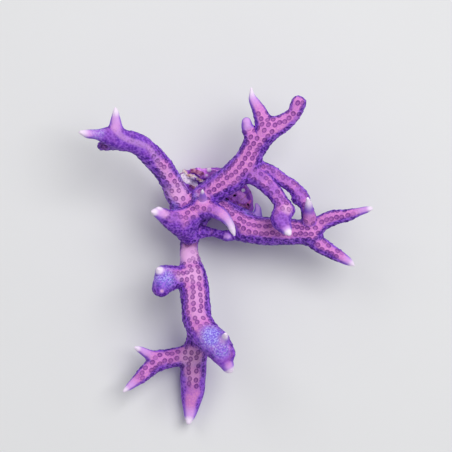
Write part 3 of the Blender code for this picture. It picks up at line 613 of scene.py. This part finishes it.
def cup_relief(distance, lean, strength, height, depth):
    """How far the skin stands out round a cup: a raised rim, higher on the growing side, and a shallow pit.

    Rim: height times exp of minus ((distance - CUP_RIM) / RIM_WIDTH) squared, times 1 plus half the lean.
    Pit: depth times exp of minus (distance / PIT_WIDTH) squared. Both are scaled by the cup's strength.
    """
    rim = height * np.exp(-(((distance - CUP_RIM) / RIM_WIDTH) ** 2)) * (1 + 0.5 * lean)
    pit = depth * np.exp(-((distance / PIT_WIDTH) ** 2))
    return strength * (rim - pit)


def patch_mask(points, patches):
    """How strongly each point is tinted by a list of soft balls: x, y, z, radius and strength."""
    mask = np.zeros(len(points))
    for x, y, z, radius, strength in patches:
        away = np.linalg.norm(points - (x, y, z), axis=1)
        mask = np.maximum(mask, strength * (1 - smooth_step(away, radius * 0.35, radius)))
    return mask


def end_masks(points):
    """How white and how lilac each point is: 1 at a growing limb's end, and 0 beyond its two lengths."""
    white, lilac = np.zeros(len(points)), np.zeros(len(points))
    for name, (short, long) in WHITE_ENDS.items():
        path = PATHS[name]
        near = np.flatnonzero(np.linalg.norm(points - path[-1, :3], axis=1) < long + 2 * path[-1, 3] + 1)
        marks = np.concatenate([[0], np.cumsum(np.linalg.norm(np.diff(path[:, :3], axis=0), axis=1))])
        start, run = path[:-1, :3], np.diff(path[:, :3], axis=0)
        offset = points[near][:, None] - start
        share = np.clip((offset * run).sum(2) / (run * run).sum(1), 0, 1)
        away = np.linalg.norm(offset - share[..., None] * run, axis=2)
        rows, nearest = np.arange(len(near)), away.argmin(1)
        at = marks[nearest] + share[rows, nearest] * np.diff(marks)[nearest]
        on_limb = 1 - smooth_step(away[rows, nearest] - np.interp(at, marks, path[:, 3]), 0.15, 0.7)
        left = marks[-1] - at
        lilac[near] = np.maximum(lilac[near], on_limb * (1 - smooth_step(left, long * 0.35, long)))
        if short:
            white[near] = np.maximum(white[near], on_limb * (1 - smooth_step(left, short * 0.15, short)))
    return white, lilac


def connected(count, first, second):
    """Gives the members of each connected group the same number, from the pairs that touch.

    Each member points at the lowest number that it touches, and pointers are followed until none changes.
    """
    label = np.arange(count)
    while True:
        lowest = np.minimum(label[first], label[second])
        linked = label.copy()
        np.minimum.at(linked, label[first], lowest)
        np.minimum.at(linked, label[second], lowest)
        while (linked[linked] != linked).any():
            linked = linked[linked]
        if (linked == label).all():
            return label
        label = linked


def face_pairs(corners):
    """The face sides of a closed mesh of quads, sorted so that the two sides of each edge are neighbours."""
    start = corners.ravel().astype(np.int64)
    end = np.roll(corners, -1, axis=1).ravel().astype(np.int64)
    key = np.minimum(start, end) * (int(corners.max()) + 1) + np.maximum(start, end)
    order = np.argsort(key, kind="stable")
    if len(order) % 2 or (key[order][0::2] != key[order][1::2]).any():
        raise RuntimeError("the skin isn't closed")
    return order[0::2], order[1::2]


def parted_skin(points, corners):
    """Parts the skin: a piece number for each face, True for each cut face side, and the faces' middles.

    A side is cut where its two faces lie on opposite sides of a parting's plane, within its radius. A crumb
    of a few faces that this leaves beside a cut goes to the piece that it touches.
    """
    middles = points[corners].mean(1)
    one, other = face_pairs(corners)
    first, second = one // 4, other // 4
    cut = np.zeros(len(first), bool)
    for limb, share, reach in PARTINGS.values():
        centre, direction, _ = along(limb, share)
        offset = middles - centre[0]
        beyond = offset @ direction[0] > 0
        near = np.square(offset).sum(1) < reach * reach
        cut |= (beyond[first] != beyond[second]) & near[first] & near[second]
    label = connected(len(corners), first[~cut], second[~cut])
    numbers, sizes = np.unique(label, return_counts=True)
    for crumb in numbers[sizes < SMALLEST_PIECE]:
        touching = np.concatenate([label[second[label[first] == crumb]],
                                   label[first[label[second] == crumb]]])
        label[label == crumb] = touching[touching != crumb][0]
    cut = label[first] != label[second]
    sides = np.zeros(corners.size, bool)
    sides[one[cut]] = True
    sides[other[cut]] = True
    return label, sides.reshape(-1, 4), middles


def flat_borders(points, corners, sides):
    """Moves the points on each border onto the parting's plane, so that every cut is flat."""
    on_border = np.unique(np.concatenate([corners[sides], np.roll(corners, -1, axis=1)[sides]]))
    moved = points.copy()
    for limb, share, reach in PARTINGS.values():
        centre, direction, _ = along(limb, share)
        offset = points[on_border] - centre[0]
        height = offset @ direction[0]
        near = (abs(height) < BORDER_WIDTH) & (np.square(offset).sum(1) < (reach + 0.3) ** 2)
        moved[on_border[near]] -= height[near, None] * direction[0]
    return moved


def piece_mesh(name, points, normals, fields, corners, sides):
    """One piece as a closed mesh: its part of the skin, and a hollow cap inside each border."""
    used, local = np.unique(corners, return_inverse=True)
    local = local.reshape(-1, 4)
    start, end = local[sides], np.roll(local, -1, axis=1)[sides]
    caps, cap_of = np.unique(connected(len(used), start, end)[start], return_inverse=True)
    skin = points[used]
    middle = np.array([skin[start[cap_of == number]].mean(0) for number in range(len(caps))])
    inward = skin.mean(0) - middle
    inward /= np.linalg.norm(inward, axis=1)[:, None]
    fans = np.stack([end, start, len(used) + cap_of], 1)
    loops = np.concatenate([local.ravel(), fans.ravel()])
    starts = np.concatenate([np.arange(len(local)) * 4, local.size + np.arange(len(fans)) * 3])
    mesh = bpy.data.meshes.new(name)
    mesh.vertices.add(len(used) + len(caps))
    mesh.loops.add(len(loops))
    mesh.polygons.add(len(starts))
    mesh.loops.foreach_set("vertex_index", loops.astype(np.int32))
    mesh.polygons.foreach_set("loop_start", starts.astype(np.int32))
    mesh.polygons.foreach_set("use_smooth", np.ones(len(starts), bool))
    put_points(mesh, np.vstack([skin, middle + CAP_HOLLOW * inward]))
    mesh.update(calc_edges=True)
    for field, values in fields.items():
        put_field(mesh, field, np.concatenate([values[used], np.zeros(len(caps))]))
    mesh.normals_split_custom_set_from_vertices(np.vstack([normals[used], -inward]).tolist())
    return mesh


def grown_skin(settings):
    """The coral's whole skin: points, normals, corners and the fields that its paint reads."""
    mesh = fused_tubes(settings.skin_cell)
    corners = quad_corners(mesh)
    points = drawn_onto_form(mesh_points(mesh), 2)
    put_points(mesh, points)
    smooth = mesh_normals(mesh)
    cups = cup_places(settings.cup_spacing / MM, settings.seed)
    distance, lean, strength = cup_fields(points, cups)
    white, lilac = end_masks(points)
    vein = [(*station, VEIN_STRENGTH) for station in smooth_path(PALE_VEIN)]
    fields = {"calice": distance, "cup": strength, "upward": smooth @ SUNNY_SIDE, "tip": white,
              "lilac": lilac}
    for name, patches in PATCHES.items():
        fields[name] = patch_mask(points, patches + vein if name == "pale" else patches)
    relief = cup_relief(distance, lean, strength, settings.cup_height / MM, settings.cup_depth / MM)
    points = points + relief[:, None] * smooth
    floor = FOOT_HEIGHT - FOOT_BURIED
    low = (points[:, 2] < floor) & (np.hypot(*(points[:, :2] - FOOT_CENTRE).T) < FOOT_RADIUS)
    points[low, 2] = floor - 0.02 * (floor - points[low, 2])
    label, sides, middles = parted_skin(points, corners)
    points = flat_borders(points, corners, sides)
    put_points(mesh, points)
    normals = mesh_normals(mesh)
    bpy.data.meshes.remove(mesh)
    print(f"skin: {len(points)} points, {len(cups[0])} cups")
    return points, normals, corners, fields, label, sides, middles


def lattice_noise(points, size, seed):
    """Smooth noise from -1 to 1: random values on a grid of the given size, eased between its corners."""
    values = np.random.default_rng(seed).uniform(-1, 1, (32, 32, 32))
    place = points / size
    base = np.floor(place).astype(int)
    share = place - base
    share = share * share * (3 - 2 * share)
    total = np.zeros(len(points))
    for corner in np.ndindex(2, 2, 2):
        weight = np.prod(np.where(corner, share, 1 - share), axis=1)
        x, y, z = ((base + corner) % 32).T
        total += weight * values[x, y, z]
    return total


def stone_outline(turn):
    """The stone's radius at an angle: a slow closed curve through radii read every 15 degrees."""
    radii = np.array([10.0, 9.4, 8.9, 8.8, 8.6, 8.2, 7.9, 8.1, 8.8, 10.2, 10.6, 10.5,
                      10.4, 10.6, 10.9, 11.0, 10.0, 6.0, 4.0, 3.9, 4.0, 5.4, 8.4, 10.2])
    marks = np.linspace(0, 2 * math.pi, len(radii) + 1)
    around = np.concatenate([radii, radii[:1]])
    near = np.interp(turn % (2 * math.pi), marks, around)
    wide = np.interp((turn + 0.09) % (2 * math.pi), marks, around)
    back = np.interp((turn - 0.09) % (2 * math.pi), marks, around)
    return (2 * near + wide + back) / 4


def stone_top(x, y):
    """Height of the stone's top: ledges that rise away from the seat, kept low where the coral passes.

    A ledge is 1.5 and two sine waves. It is added in full to the north, and the south sinks by 0.9.
    """
    from_foot = np.hypot(x - FOOT_CENTRE[0], y - FOOT_CENTRE[1])
    rise = np.clip((from_foot - SEAT_RADIUS) / LEDGE_LENGTH, 0, 1)
    ledge = 1.5 + 0.9 * np.sin(1.1 * x + 0.9 * y) + 0.5 * np.sin(2.1 * x - 1.3 * y)
    north = np.clip((y + 2.0) / 3.0, 0, 1)
    crest = STONE_HEIGHT - STONE_SEAT - 1.5 + ledge * 0.8
    return STONE_SEAT + (crest * north - 0.9 * (1 - north)) * rise


def crust_mask(points, name):
    """How strongly one kind of crust covers each point. Its edges wander, and it ends just below the rim."""
    wander = 0.0 if name in ("spot", "hole") else CRUST_WANDER
    x = points[:, 0] + wander * lattice_noise(points, CRUST_GRAIN, CRUST_SEED)
    y = points[:, 1] + wander * lattice_noise(points, CRUST_GRAIN, CRUST_SEED + 1)
    mask = np.zeros(len(points))
    for x1, y1, x2, y2, radius, strength in CRUST_STROKES[name]:
        run = np.array([x2 - x1, y2 - y1])
        share = np.clip(((x - x1) * run[0] + (y - y1) * run[1]) / max(run @ run, 1e-6), 0, 1)
        away = np.hypot(x - x1 - share * run[0], y - y1 - share * run[1])
        mask = np.maximum(mask, strength * (1 - smooth_step(away, radius * 0.6, radius * 1.2)))
    below_rim = stone_top(points[:, 0], points[:, 1]) - points[:, 2]
    ragged = 0.9 * lattice_noise(points, 1.1, CRUST_SEED + 2)
    return mask * (1 - smooth_step(below_rim + ragged, 0.9, 2.1))


def stone_grid(settings):
    """The stone as rows of points from the seat over the rim and down to the cut face.

    Each row is a share of the outline. The side bulges by a twentieth, ripples by a fiftieth and draws in
    towards the cut face. Crust bumps and three sizes of noise push the skin out along its normal, and fade to
    nothing at the seat and at the cut face.
    """
    turn = np.linspace(0, 2 * math.pi, STONE_COLUMNS, endpoint=False)
    across = np.stack([np.cos(turn), np.sin(turn)], 1) * stone_outline(turn)[:, None]
    top_shares = np.linspace(0, RIM_SHARE, STONE_TOP_ROWS + 1)[1:]
    rows = [np.column_stack([share * across, stone_top(*(share * across).T)]) for share in top_shares]
    rim = rows[-1][:, 2]
    fall = np.linspace(0, 1, STONE_SIDE_ROWS + 1)[1:]
    belly = RIM_SHARE + 0.05 * np.sin(np.clip(fall * 1.2, 0, 1) * math.pi / 2) - 0.06 * fall**6
    for share, drop in zip(belly, fall):
        ripple = 1 + 0.02 * np.sin(7 * turn + 9 * (1 - drop)) * math.sin(math.pi * drop)
        rows.append(np.column_stack([share * ripple[:, None] * across, rim * (1 - drop)]))
    for share in (0.7, 0.45, 0.2):
        rows.append(np.column_stack([share * across, np.zeros(STONE_COLUMNS)]))
    grid = np.array(rows)
    out = np.cross(np.gradient(grid, axis=0), np.roll(grid, -1, axis=1) - np.roll(grid, 1, axis=1))
    out /= np.maximum(np.linalg.norm(out, axis=2, keepdims=True), 1e-6)
    flat = grid.reshape(-1, 3)
    from_foot = np.hypot(flat[:, 0] - FOOT_CENTRE[0], flat[:, 1] - FOOT_CENTRE[1])
    free = smooth_step(from_foot, 4.4, 6.0) * smooth_step(flat[:, 2], 0.05, 1.2)
    rough = (0.55 * lattice_noise(flat, 2.3, settings.seed)
             + 0.3 * lattice_noise(flat, 1.05, settings.seed + 1)
             + 0.15 * lattice_noise(flat, 0.5, settings.seed + 2))
    crust = sum(height * crust_mask(flat, name) for name, height in CRUST_HEIGHTS.items())
    push = free * (rough * settings.roughness / MM + crust)
    return grid + (push[:, None] * out.reshape(-1, 3)).reshape(grid.shape)


def stone_mesh(settings):
    """The stone's grid as a closed mesh, with its crust's colours as fields."""
    grid = stone_grid(settings)
    walls, fans = ring_faces(*grid.shape[:2])
    faces = walls.tolist() + fans.tolist()
    points = np.vstack([grid.reshape(-1, 3), [(0, 0, STONE_SEAT), (0, 0, 0)]])
    mesh = bpy.data.meshes.new("base_stone_skin")
    mesh.from_pydata((points * MM).tolist(), [], faces)
    mesh.polygons.foreach_set("use_smooth", np.ones(len(faces), bool))
    for field in CRUST_STROKES:
        put_field(mesh, field, crust_mask(points, field))
    return mesh


class Paint:
    """A material's nodes. A method that makes a value adds what nodes it needs and returns the output."""

    def __init__(self, name):
        self.material = bpy.data.materials.new(name)
        self.material.use_nodes = True
        self.nodes = self.material.node_tree.nodes
        self.links = self.material.node_tree.links
        self.shader = self.nodes["Principled BSDF"]
        self.place = self.nodes.new("ShaderNodeTexCoord").outputs["Object"]

    def feed(self, socket, value):
        """Links an output to a socket, or sets the socket to a number or a colour."""
        if isinstance(value, bpy.types.NodeSocket):
            self.links.new(value, socket)
        elif isinstance(value, (int, float)):
            socket.default_value = value
        else:
            socket.default_value = (*value, 1)

    def attribute(self, name):
        """One of the mesh's fields."""
        node = self.nodes.new("ShaderNodeAttribute")
        node.attribute_name = name
        return node.outputs["Fac"]

    def maths(self, operation, *values):
        """One sum, product or the like of outputs and numbers."""
        node = self.nodes.new("ShaderNodeMath")
        node.operation = operation
        for socket, value in zip(node.inputs, values):
            self.feed(socket, value)
        return node.outputs[0]

    def product(self, first, *others):
        """All the values multiplied."""
        for other in others:
            first = self.maths("MULTIPLY", first, other)
        return first

    def largest(self, first, *others):
        """The largest of the values."""
        for other in others:
            first = self.maths("MAXIMUM", first, other)
        return first

    def rest(self, value):
        """1 less the value."""
        return self.maths("SUBTRACT", 1.0, value)

    def eased(self, value, low, high):
        """0 at low, 1 at high and eased between. Low may be the larger of the two."""
        node = self.nodes.new("ShaderNodeMapRange")
        node.interpolation_type = "SMOOTHSTEP"
        self.feed(node.inputs["Value"], value)
        self.feed(node.inputs["From Min"], min(low, high))
        self.feed(node.inputs["From Max"], max(low, high))
        self.feed(node.inputs["To Min"], 0 if low < high else 1)
        self.feed(node.inputs["To Max"], 1 if low < high else 0)
        return node.outputs["Result"]

    def noise(self, size, detail=2.0):
        """Noise of about 0 to 1 whose lumps are size millimetres across."""
        node = self.nodes.new("ShaderNodeTexNoise")
        self.links.new(self.place, node.inputs["Vector"])
        self.feed(node.inputs["Scale"], 1 / (size * MM))
        self.feed(node.inputs["Detail"], detail)
        return node.outputs["Fac"]

    def cells(self, size):
        """Distance to the nearest of scattered dots, size millimetres apart, from 0 to about 1."""
        node = self.nodes.new("ShaderNodeTexVoronoi")
        self.links.new(self.place, node.inputs["Vector"])
        self.feed(node.inputs["Scale"], 1 / (size * MM))
        return node.outputs["Distance"]

    def mix(self, share, first, second):
        """The first colour where share is 0 and the second where it is 1."""
        node = self.nodes.new("ShaderNodeMix")
        node.data_type = "RGBA"
        self.feed(node.inputs[0], share)
        self.feed(node.inputs[6], first)
        self.feed(node.inputs[7], second)
        return node.outputs[2]

    def finish(self, tint, roughness):
        """The surface's colour and roughness, with a weak sheen."""
        self.feed(self.shader.inputs["Base Color"], tint)
        self.feed(self.shader.inputs["Roughness"], roughness)
        self.feed(self.shader.inputs["Specular IOR Level"], 0.2)

    def bump(self, height, depth):
        """Fine relief, depth millimetres from a height of 0 to a height of 1."""
        node = self.nodes.new("ShaderNodeBump")
        self.feed(node.inputs["Height"], height)
        self.feed(node.inputs["Distance"], depth * MM)
        self.links.new(node.outputs["Normal"], self.shader.inputs["Normal"])


def coral_paint(name, settings):
    """Living tissue: pink above and violet on the sides, dark rings round the cups, white growing ends. How
    pink or violet a place is, and how dark its rings, is partly the tissue's own colour and partly painted
    light and shade; the brownish patches are painted shade and shadow.
    """
    paint = Paint(name)
    violet = paint.attribute("violet")
    lilac = paint.attribute("lilac")
    pale = paint.attribute("pale")
    cool = paint.attribute("cool")
    fine = paint.noise(0.4, 3.0)
    dots = paint.cells(0.66)
    sway = paint.product(paint.maths("SUBTRACT", paint.noise(2.6), 0.5), 0.34)
    upward = paint.maths("ADD", paint.attribute("upward"), sway)
    # Facing the light gives the pink top, facing away the violet side: partly the tissue's own colours,
    # partly painted light and shade.
    lit = paint.largest(paint.eased(upward, 0.6, 0.88), paint.attribute("rosy"))
    lit = paint.product(lit, paint.rest(violet))
    top = paint.mix(paint.eased(fine, 0.35, 0.7), settings.top_colour, settings.top_light)
    side = paint.mix(paint.eased(paint.cells(1.7), 0.62, 0.3), settings.flank_colour, settings.violet_colour)
    side = paint.mix(paint.product(violet, 0.45), side, settings.violet_colour)
    tissue = paint.mix(lit, side, top)
    # Faces turned down darken to a deeper violet: partly the tissue's own colour, partly painted shade.
    tissue = paint.mix(paint.eased(upward, 0.1, -0.5), tissue, settings.under_colour)
    tissue = paint.mix(pale, tissue, settings.pale_colour)
    # Bluish patches: the tissue's own tint, with light grains that are partly painted highlights.
    blue = paint.mix(paint.eased(fine, 0.46, 0.62), settings.cool_colour, settings.cool_light)
    tissue = paint.mix(cool, tissue, blue)
    # The brownish mauve patches are painted shade and shadow.
    tissue = paint.mix(paint.attribute("painted_shadow"), tissue, settings.painted_shadow_colour)
    # Dark rings in the groove inside each rim and a darker pit: partly the tissue's own colour, partly
    # painted shade. On the sides they take the deeper colour, a shaded copy.
    away = paint.attribute("calice")
    cup = paint.product(paint.attribute("cup"), paint.rest(cool), paint.eased(fine, 0.15, 0.5),
                        paint.rest(paint.product(violet, 0.45)))
    inside = paint.product(paint.eased(away, 0.58, 0.36), cup, 0.62)
    ring = paint.product(paint.eased(away, 0.16, 0.4), paint.eased(away, 0.66, 0.48), cup)
    dark = paint.mix(lit, settings.deep_colour, settings.ring_colour)
    dark = paint.mix(paint.product(pale, 0.8), dark, settings.pale_ring_colour)
    tissue = paint.mix(paint.largest(inside, ring), tissue, dark)
    bare = paint.rest(paint.largest(lit, lilac, pale))
    stippled = paint.rest(paint.product(paint.attribute("plain"), 0.7))
    specks = paint.product(paint.eased(dots, 0.46, 0.22), bare, stippled, 0.75)
    tissue = paint.mix(specks, tissue, settings.deep_colour)
    glints = paint.product(paint.eased(dots, 0.52, 0.74), bare, 0.5)
    tissue = paint.mix(glints, tissue, settings.glint_colour)
    # Growing ends: lighter lilac where they face the light, darker on their sides: painted light and shade on
    # the tissue's own lilac.
    soft = paint.mix(paint.eased(upward, 0.4, 0.85), settings.lilac_side, settings.lilac_colour)
    tissue = paint.mix(paint.product(lilac, 0.85), tissue, soft)
    tissue = paint.mix(paint.attribute("tip"), tissue, settings.tip_colour)
    paint.finish(tissue, 0.55)
    paint.bump(paint.maths("ADD", fine, paint.product(dots, 0.6)), 0.12)
    return paint.material


def stone_paint(name, settings):
    """Stone under a patchy crust: violet and magenta, with cream, brown and rose growths and white spots."""
    paint = Paint(name)
    fine = paint.noise(0.5, 4.0)
    crust = paint.mix(paint.eased(paint.noise(2.0, 3.0), 0.36, 0.64), settings.violet_colour,
                      settings.magenta_colour)
    crust = paint.mix(paint.eased(paint.noise(1.1, 3.0), 0.56, 0.74), crust, settings.maroon_colour)
    broken = paint.product(paint.maths("SUBTRACT", fine, 0.5), 0.7)
    whole = paint.product(broken, 0.2)
    # The pale ridge's tan is painted shade on its cream; the brown bumps' maroon is partly their own colour
    # and partly painted shade.
    cream = paint.mix(paint.eased(paint.noise(0.8, 2.0), 0.42, 0.62), settings.cream_colour,
                      settings.tan_colour)
    brown = paint.mix(paint.eased(paint.noise(0.9, 2.0), 0.4, 0.62), settings.maroon_colour,
                      settings.brown_colour)
    # The holes are painted near black: painted shade in their depth.
    growths = (("bright", settings.bright_colour, broken), ("rose", settings.rose_colour, broken),
               ("white", settings.spot_colour, broken), ("brown", brown, broken), ("cream", cream, whole),
               ("spot", settings.spot_colour, whole), ("hole", settings.hole_shade_colour, whole))
    for field, tint, edge in growths:
        mask = paint.eased(paint.maths("ADD", paint.attribute(field), edge), 0.25, 0.6)
        crust = paint.mix(mask, crust, tint)
    pores = paint.product(paint.eased(fine, 0.48, 0.3), 0.4)
    paint.finish(paint.mix(pores, crust, settings.shade_colour), 0.75)
    paint.bump(fine, 0.35)
    return paint.material


def add_piece(name, mesh, material, node):
    """Puts a finished piece in the frame, in place of its solid."""
    piece = add_object(name, mesh)
    mesh.materials.append(material)
    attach(piece, "root")
    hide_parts(node)


def srgb(red, green, blue):
    """A colour's linear values from its usual 0 to 255 ones."""
    shares = np.array([red, green, blue]) / 255
    return tuple(np.where(shares <= 0.04045, shares / 12.92, ((shares + 0.055) / 1.055) ** 2.4).tolist())


def colour(name, description, red, green, blue):
    """A colour property, given by its usual 0 to 255 values."""
    return FloatVectorProperty(name=name, description=description, subtype="COLOR", size=3, min=0.0, max=1.0,
                               default=srgb(red, green, blue))


def length(name, description, default, least=0.0):
    """A length property, given in millimetres."""
    return FloatProperty(name=name, description=description, default=default * MM, min=least * MM,
                         unit="LENGTH", precision=5)


class CoralSettings(bpy.types.PropertyGroup):
    skin_cell: length("Skin cell", "Cell of the grid that the skin is fused on", 0.135, 0.08)
    cup_spacing: length("Cup spacing", "Distance from one cup to the next along a branch", 1.42, 0.8)
    cup_height: length("Rim height", "How far a cup's rim stands out of the skin", 0.13)
    cup_depth: length("Pit depth", "How deep a cup's middle is", 0.10)
    seed: IntProperty(name="Seed", description="Changes how the cups are scattered", default=7, min=0)
    # Top, flank and underside: the tissue's own pink and violet, made lighter towards the light and darker
    # away from it, which is painted light and shade.
    top_colour: colour("Top", "Tissue that faces up", 208, 122, 212)
    top_light: colour("Top, light", "The lighter grains of the top", 230, 148, 212)
    flank_colour: colour("Flank", "Tissue on the branches' sides", 144, 76, 216)
    violet_colour: colour("Violet", "Darker blotches on the sides", 108, 46, 184)
    under_colour: colour("Underside", "Tissue that faces down", 112, 52, 204)
    pale_colour: colour("Pale patch", "Pale patches on the column and ends", 238, 180, 232)
    # The bluish tint and its light grains, which are partly painted highlights.
    cool_colour: colour("Cool patch", "Bluish patches on the foot and stub", 134, 106, 226)
    cool_light: colour("Cool patch, light", "Light grains in the bluish patches", 186, 184, 252)
    glint_colour: colour("Glint", "Light grains on the sides", 184, 122, 236)
    # Ring colours: partly the tissue's own, partly painted shade in the cups' grooves; the deep colour is
    # their copy for the shaded sides and also darkens the specks.
    ring_colour: colour("Ring", "Rings round the cups", 120, 48, 146)
    pale_ring_colour: colour("Pale ring", "Rings in the pale patches", 140, 74, 150)
    deep_colour: colour("Deep ring", "Rings and specks on the sides", 66, 22, 126)
    # Brownish mauve for painted shade and shadow.
    painted_shadow_colour: colour("Dusky patch", "Brownish patches in folds", 164, 98, 158)
    # The growing end's lit colour and its side copy: painted light and shade on the tissue's own lilac.
    lilac_colour: colour("Growing end", "Growing ends of the branches", 222, 168, 244)
    lilac_side: colour("Growing end, side", "Sides of the growing ends", 150, 100, 226)
    tip_colour: colour("White tip", "Very tips of the branches", 250, 232, 255)


class StoneSettings(bpy.types.PropertyGroup):
    roughness: length("Roughness", "How far the stone's lumps stand out", 0.75)
    seed: IntProperty(name="Seed", description="Changes the stone's lumps", default=11, min=0)
    violet_colour: colour("Violet crust", "Darker crust", 152, 76, 212)
    magenta_colour: colour("Magenta crust", "Lighter crust", 180, 92, 220)
    maroon_colour: colour("Maroon crust", "Dark bumps", 142, 62, 124)
    brown_colour: colour("Brown crust", "Lighter bumps", 216, 142, 178)
    bright_colour: colour("Bright crust", "Bright violet growth", 240, 152, 253)
    rose_colour: colour("Rose crust", "Bright pink growth", 250, 128, 220)
    cream_colour: colour("Cream crust", "Pale ridge", 254, 236, 240)
    tan_colour: colour("Tan crust", "Shaded parts of the pale ridge", 222, 174, 158)
    spot_colour: colour("White spot", "White growths", 254, 238, 253)
    # Near black, painted shade in the small holes.
    hole_shade_colour: colour("Hole", "Small deep holes", 22, 8, 34)
    shade_colour: colour("Pores", "Dark pores of the stone", 96, 44, 124)


class StageSettings(bpy.types.PropertyGroup):
    view_centre: FloatVectorProperty(name="View centre", description="What the camera looks down on",
                                     default=(3.35 * MM, -6.475 * MM, 15 * MM), size=3, subtype="XYZ")
    view_width: length("View width", "Width of the picture at that point", 113, 10)
    view_height: length("View distance", "How far the camera is from that point", 1200, 200)
    key_power: FloatProperty(name="Key light", description="Power of the large soft light", default=6.6,
                             min=0.0, unit="POWER")
    fill: FloatProperty(name="Fill", description="Strength of the pale surroundings", default=0.36, min=0.0)
    floor_colour: FloatVectorProperty(name="Floor", description="Plain pale floor", subtype="COLOR", size=3,
                                      default=(0.8, 0.8, 0.8), min=0.0, max=1.0)


class CORAL_OT_grow_skin(bpy.types.Operator):
    """Grow the coral's skin and part it at the main forks, one piece for each solid"""

    bl_idname = "coral.grow_skin"
    bl_label = "Grow coral"

    def execute(self, context):
        settings = context.scene.coral_settings
        points, normals, corners, fields, label, sides, middles = grown_skin(settings)
        paints = {"coral": coral_paint("coral_tissue", settings),
                  "pale_coral": coral_paint("pale_tissue", settings)}
        named = set()
        for name, (limb, share) in PIECES.items():
            marker = along(limb, share)[0][0]
            number = label[np.square(middles - marker).sum(1).argmin()]
            if number in named:
                raise RuntimeError(f"the parting gives no piece of its own for {name}")
            named.add(number)
            mine = label == number
            mesh = piece_mesh(f"{name}_skin", points, normals, fields, corners[mine], sides[mine])
            slot = "pale_coral" if name == "column" else "coral"
            add_piece(f"{name}_skin", mesh, paints[slot], name)
        sizes = np.unique(label, return_counts=True)[1]
        if len(sizes) != len(named):
            raise RuntimeError(f"the parting gives {len(sizes)} pieces, of {sorted(sizes.tolist())} faces")
        return {"FINISHED"}


class CORAL_OT_lay_stone(bpy.types.Operator):
    """Shape the crusted base stone"""

    bl_idname = "coral.lay_stone"
    bl_label = "Lay base stone"

    def execute(self, context):
        settings = context.scene.stone_settings
        add_piece("base_stone_skin", stone_mesh(settings), stone_paint("crusted_stone", settings),
                  "base_stone")
        return {"FINISHED"}


class CORAL_OT_set_stage(bpy.types.Operator):
    """Set the plain floor, the soft light and the camera"""

    bl_idname = "coral.set_stage"
    bl_label = "Set stage"

    def execute(self, context):
        settings = context.scene.stage_settings
        floor_mesh = bpy.data.meshes.new("floor")
        turn = np.linspace(0, 2 * math.pi, FLOOR_SIDES, endpoint=False)
        rim = FLOOR_RADIUS * np.stack([np.cos(turn), np.sin(turn), np.zeros(FLOOR_SIDES)], 1)
        floor_mesh.from_pydata(rim.tolist(), [], [tuple(range(FLOOR_SIDES))])
        floor = add_object("floor", floor_mesh)
        paint = Paint("floor_paper")
        shade = tuple(0.97 * part for part in settings.floor_colour)
        paint.feed(paint.shader.inputs["Base Color"],
                   paint.mix(paint.noise(30.0, 3.0), tuple(settings.floor_colour), shade))
        paint.feed(paint.shader.inputs["Roughness"], 0.9)
        floor_mesh.materials.append(paint.material)
        self.add_light("key", (0.36, 0.26, 0.88), 0.7, settings.key_power)
        self.add_light("rim", (-0.5, 0.5, 0.7), 0.5, settings.key_power * 0.22)
        world = bpy.data.worlds.new("surroundings")
        world.use_nodes = True
        back = world.node_tree.nodes["Background"]
        back.inputs["Color"].default_value = (0.92, 0.93, 0.97, 1)
        back.inputs["Strength"].default_value = settings.fill
        context.scene.world = world
        camera = bpy.data.cameras.new("camera")
        camera.sensor_width = 36.0
        camera.lens = camera.sensor_width * settings.view_height / settings.view_width
        camera.clip_end = 10.0
        camera.dof.use_dof = False
        holder = bpy.data.objects.new("camera", camera)
        holder.location = Vector(settings.view_centre) + Vector((0, 0, settings.view_height))
        context.scene.collection.objects.link(holder)
        context.scene.camera = holder
        context.scene.view_settings.view_transform = "Standard"
        return {"FINISHED"}

    def add_light(self, name, place, size, power):
        """A round soft light that faces the part."""
        light = bpy.data.lights.new(name, "AREA")
        light.shape = "DISK"
        light.size = size
        light.energy = power
        holder = bpy.data.objects.new(name, light)
        holder.location = place
        holder.rotation_euler = Vector(place).to_track_quat("Z", "Y").to_euler()
        bpy.context.scene.collection.objects.link(holder)


class CORAL_PT_panel(bpy.types.Panel):
    """Lists the coral's operators and settings"""

    bl_idname = "CORAL_PT_panel"
    bl_label = "Birds nest coral"
    bl_space_type = "VIEW_3D"
    bl_region_type = "UI"
    bl_category = "Coral"

    def draw(self, context):
        for operator, settings in ((CORAL_OT_grow_skin, context.scene.coral_settings),
                                   (CORAL_OT_lay_stone, context.scene.stone_settings),
                                   (CORAL_OT_set_stage, context.scene.stage_settings)):
            box = self.layout.box()
            box.operator(operator.bl_idname)
            for name in settings.__annotations__:
                box.prop(settings, name)


CLASSES = (CoralSettings, StoneSettings, StageSettings, CORAL_OT_grow_skin, CORAL_OT_lay_stone,
           CORAL_OT_set_stage, CORAL_PT_panel)


def register():
    for item in CLASSES:
        bpy.utils.register_class(item)
    bpy.types.Scene.coral_settings = PointerProperty(type=CoralSettings)
    bpy.types.Scene.stone_settings = PointerProperty(type=StoneSettings)
    bpy.types.Scene.stage_settings = PointerProperty(type=StageSettings)


def unregister():
    del bpy.types.Scene.stage_settings
    del bpy.types.Scene.stone_settings
    del bpy.types.Scene.coral_settings
    for item in reversed(CLASSES):
        bpy.utils.unregister_class(item)


def main():
    register()
    bpy.ops.coral.grow_skin()
    bpy.ops.coral.lay_stone()
    bpy.ops.coral.set_stage()


if __name__ == "__main__":
    main()
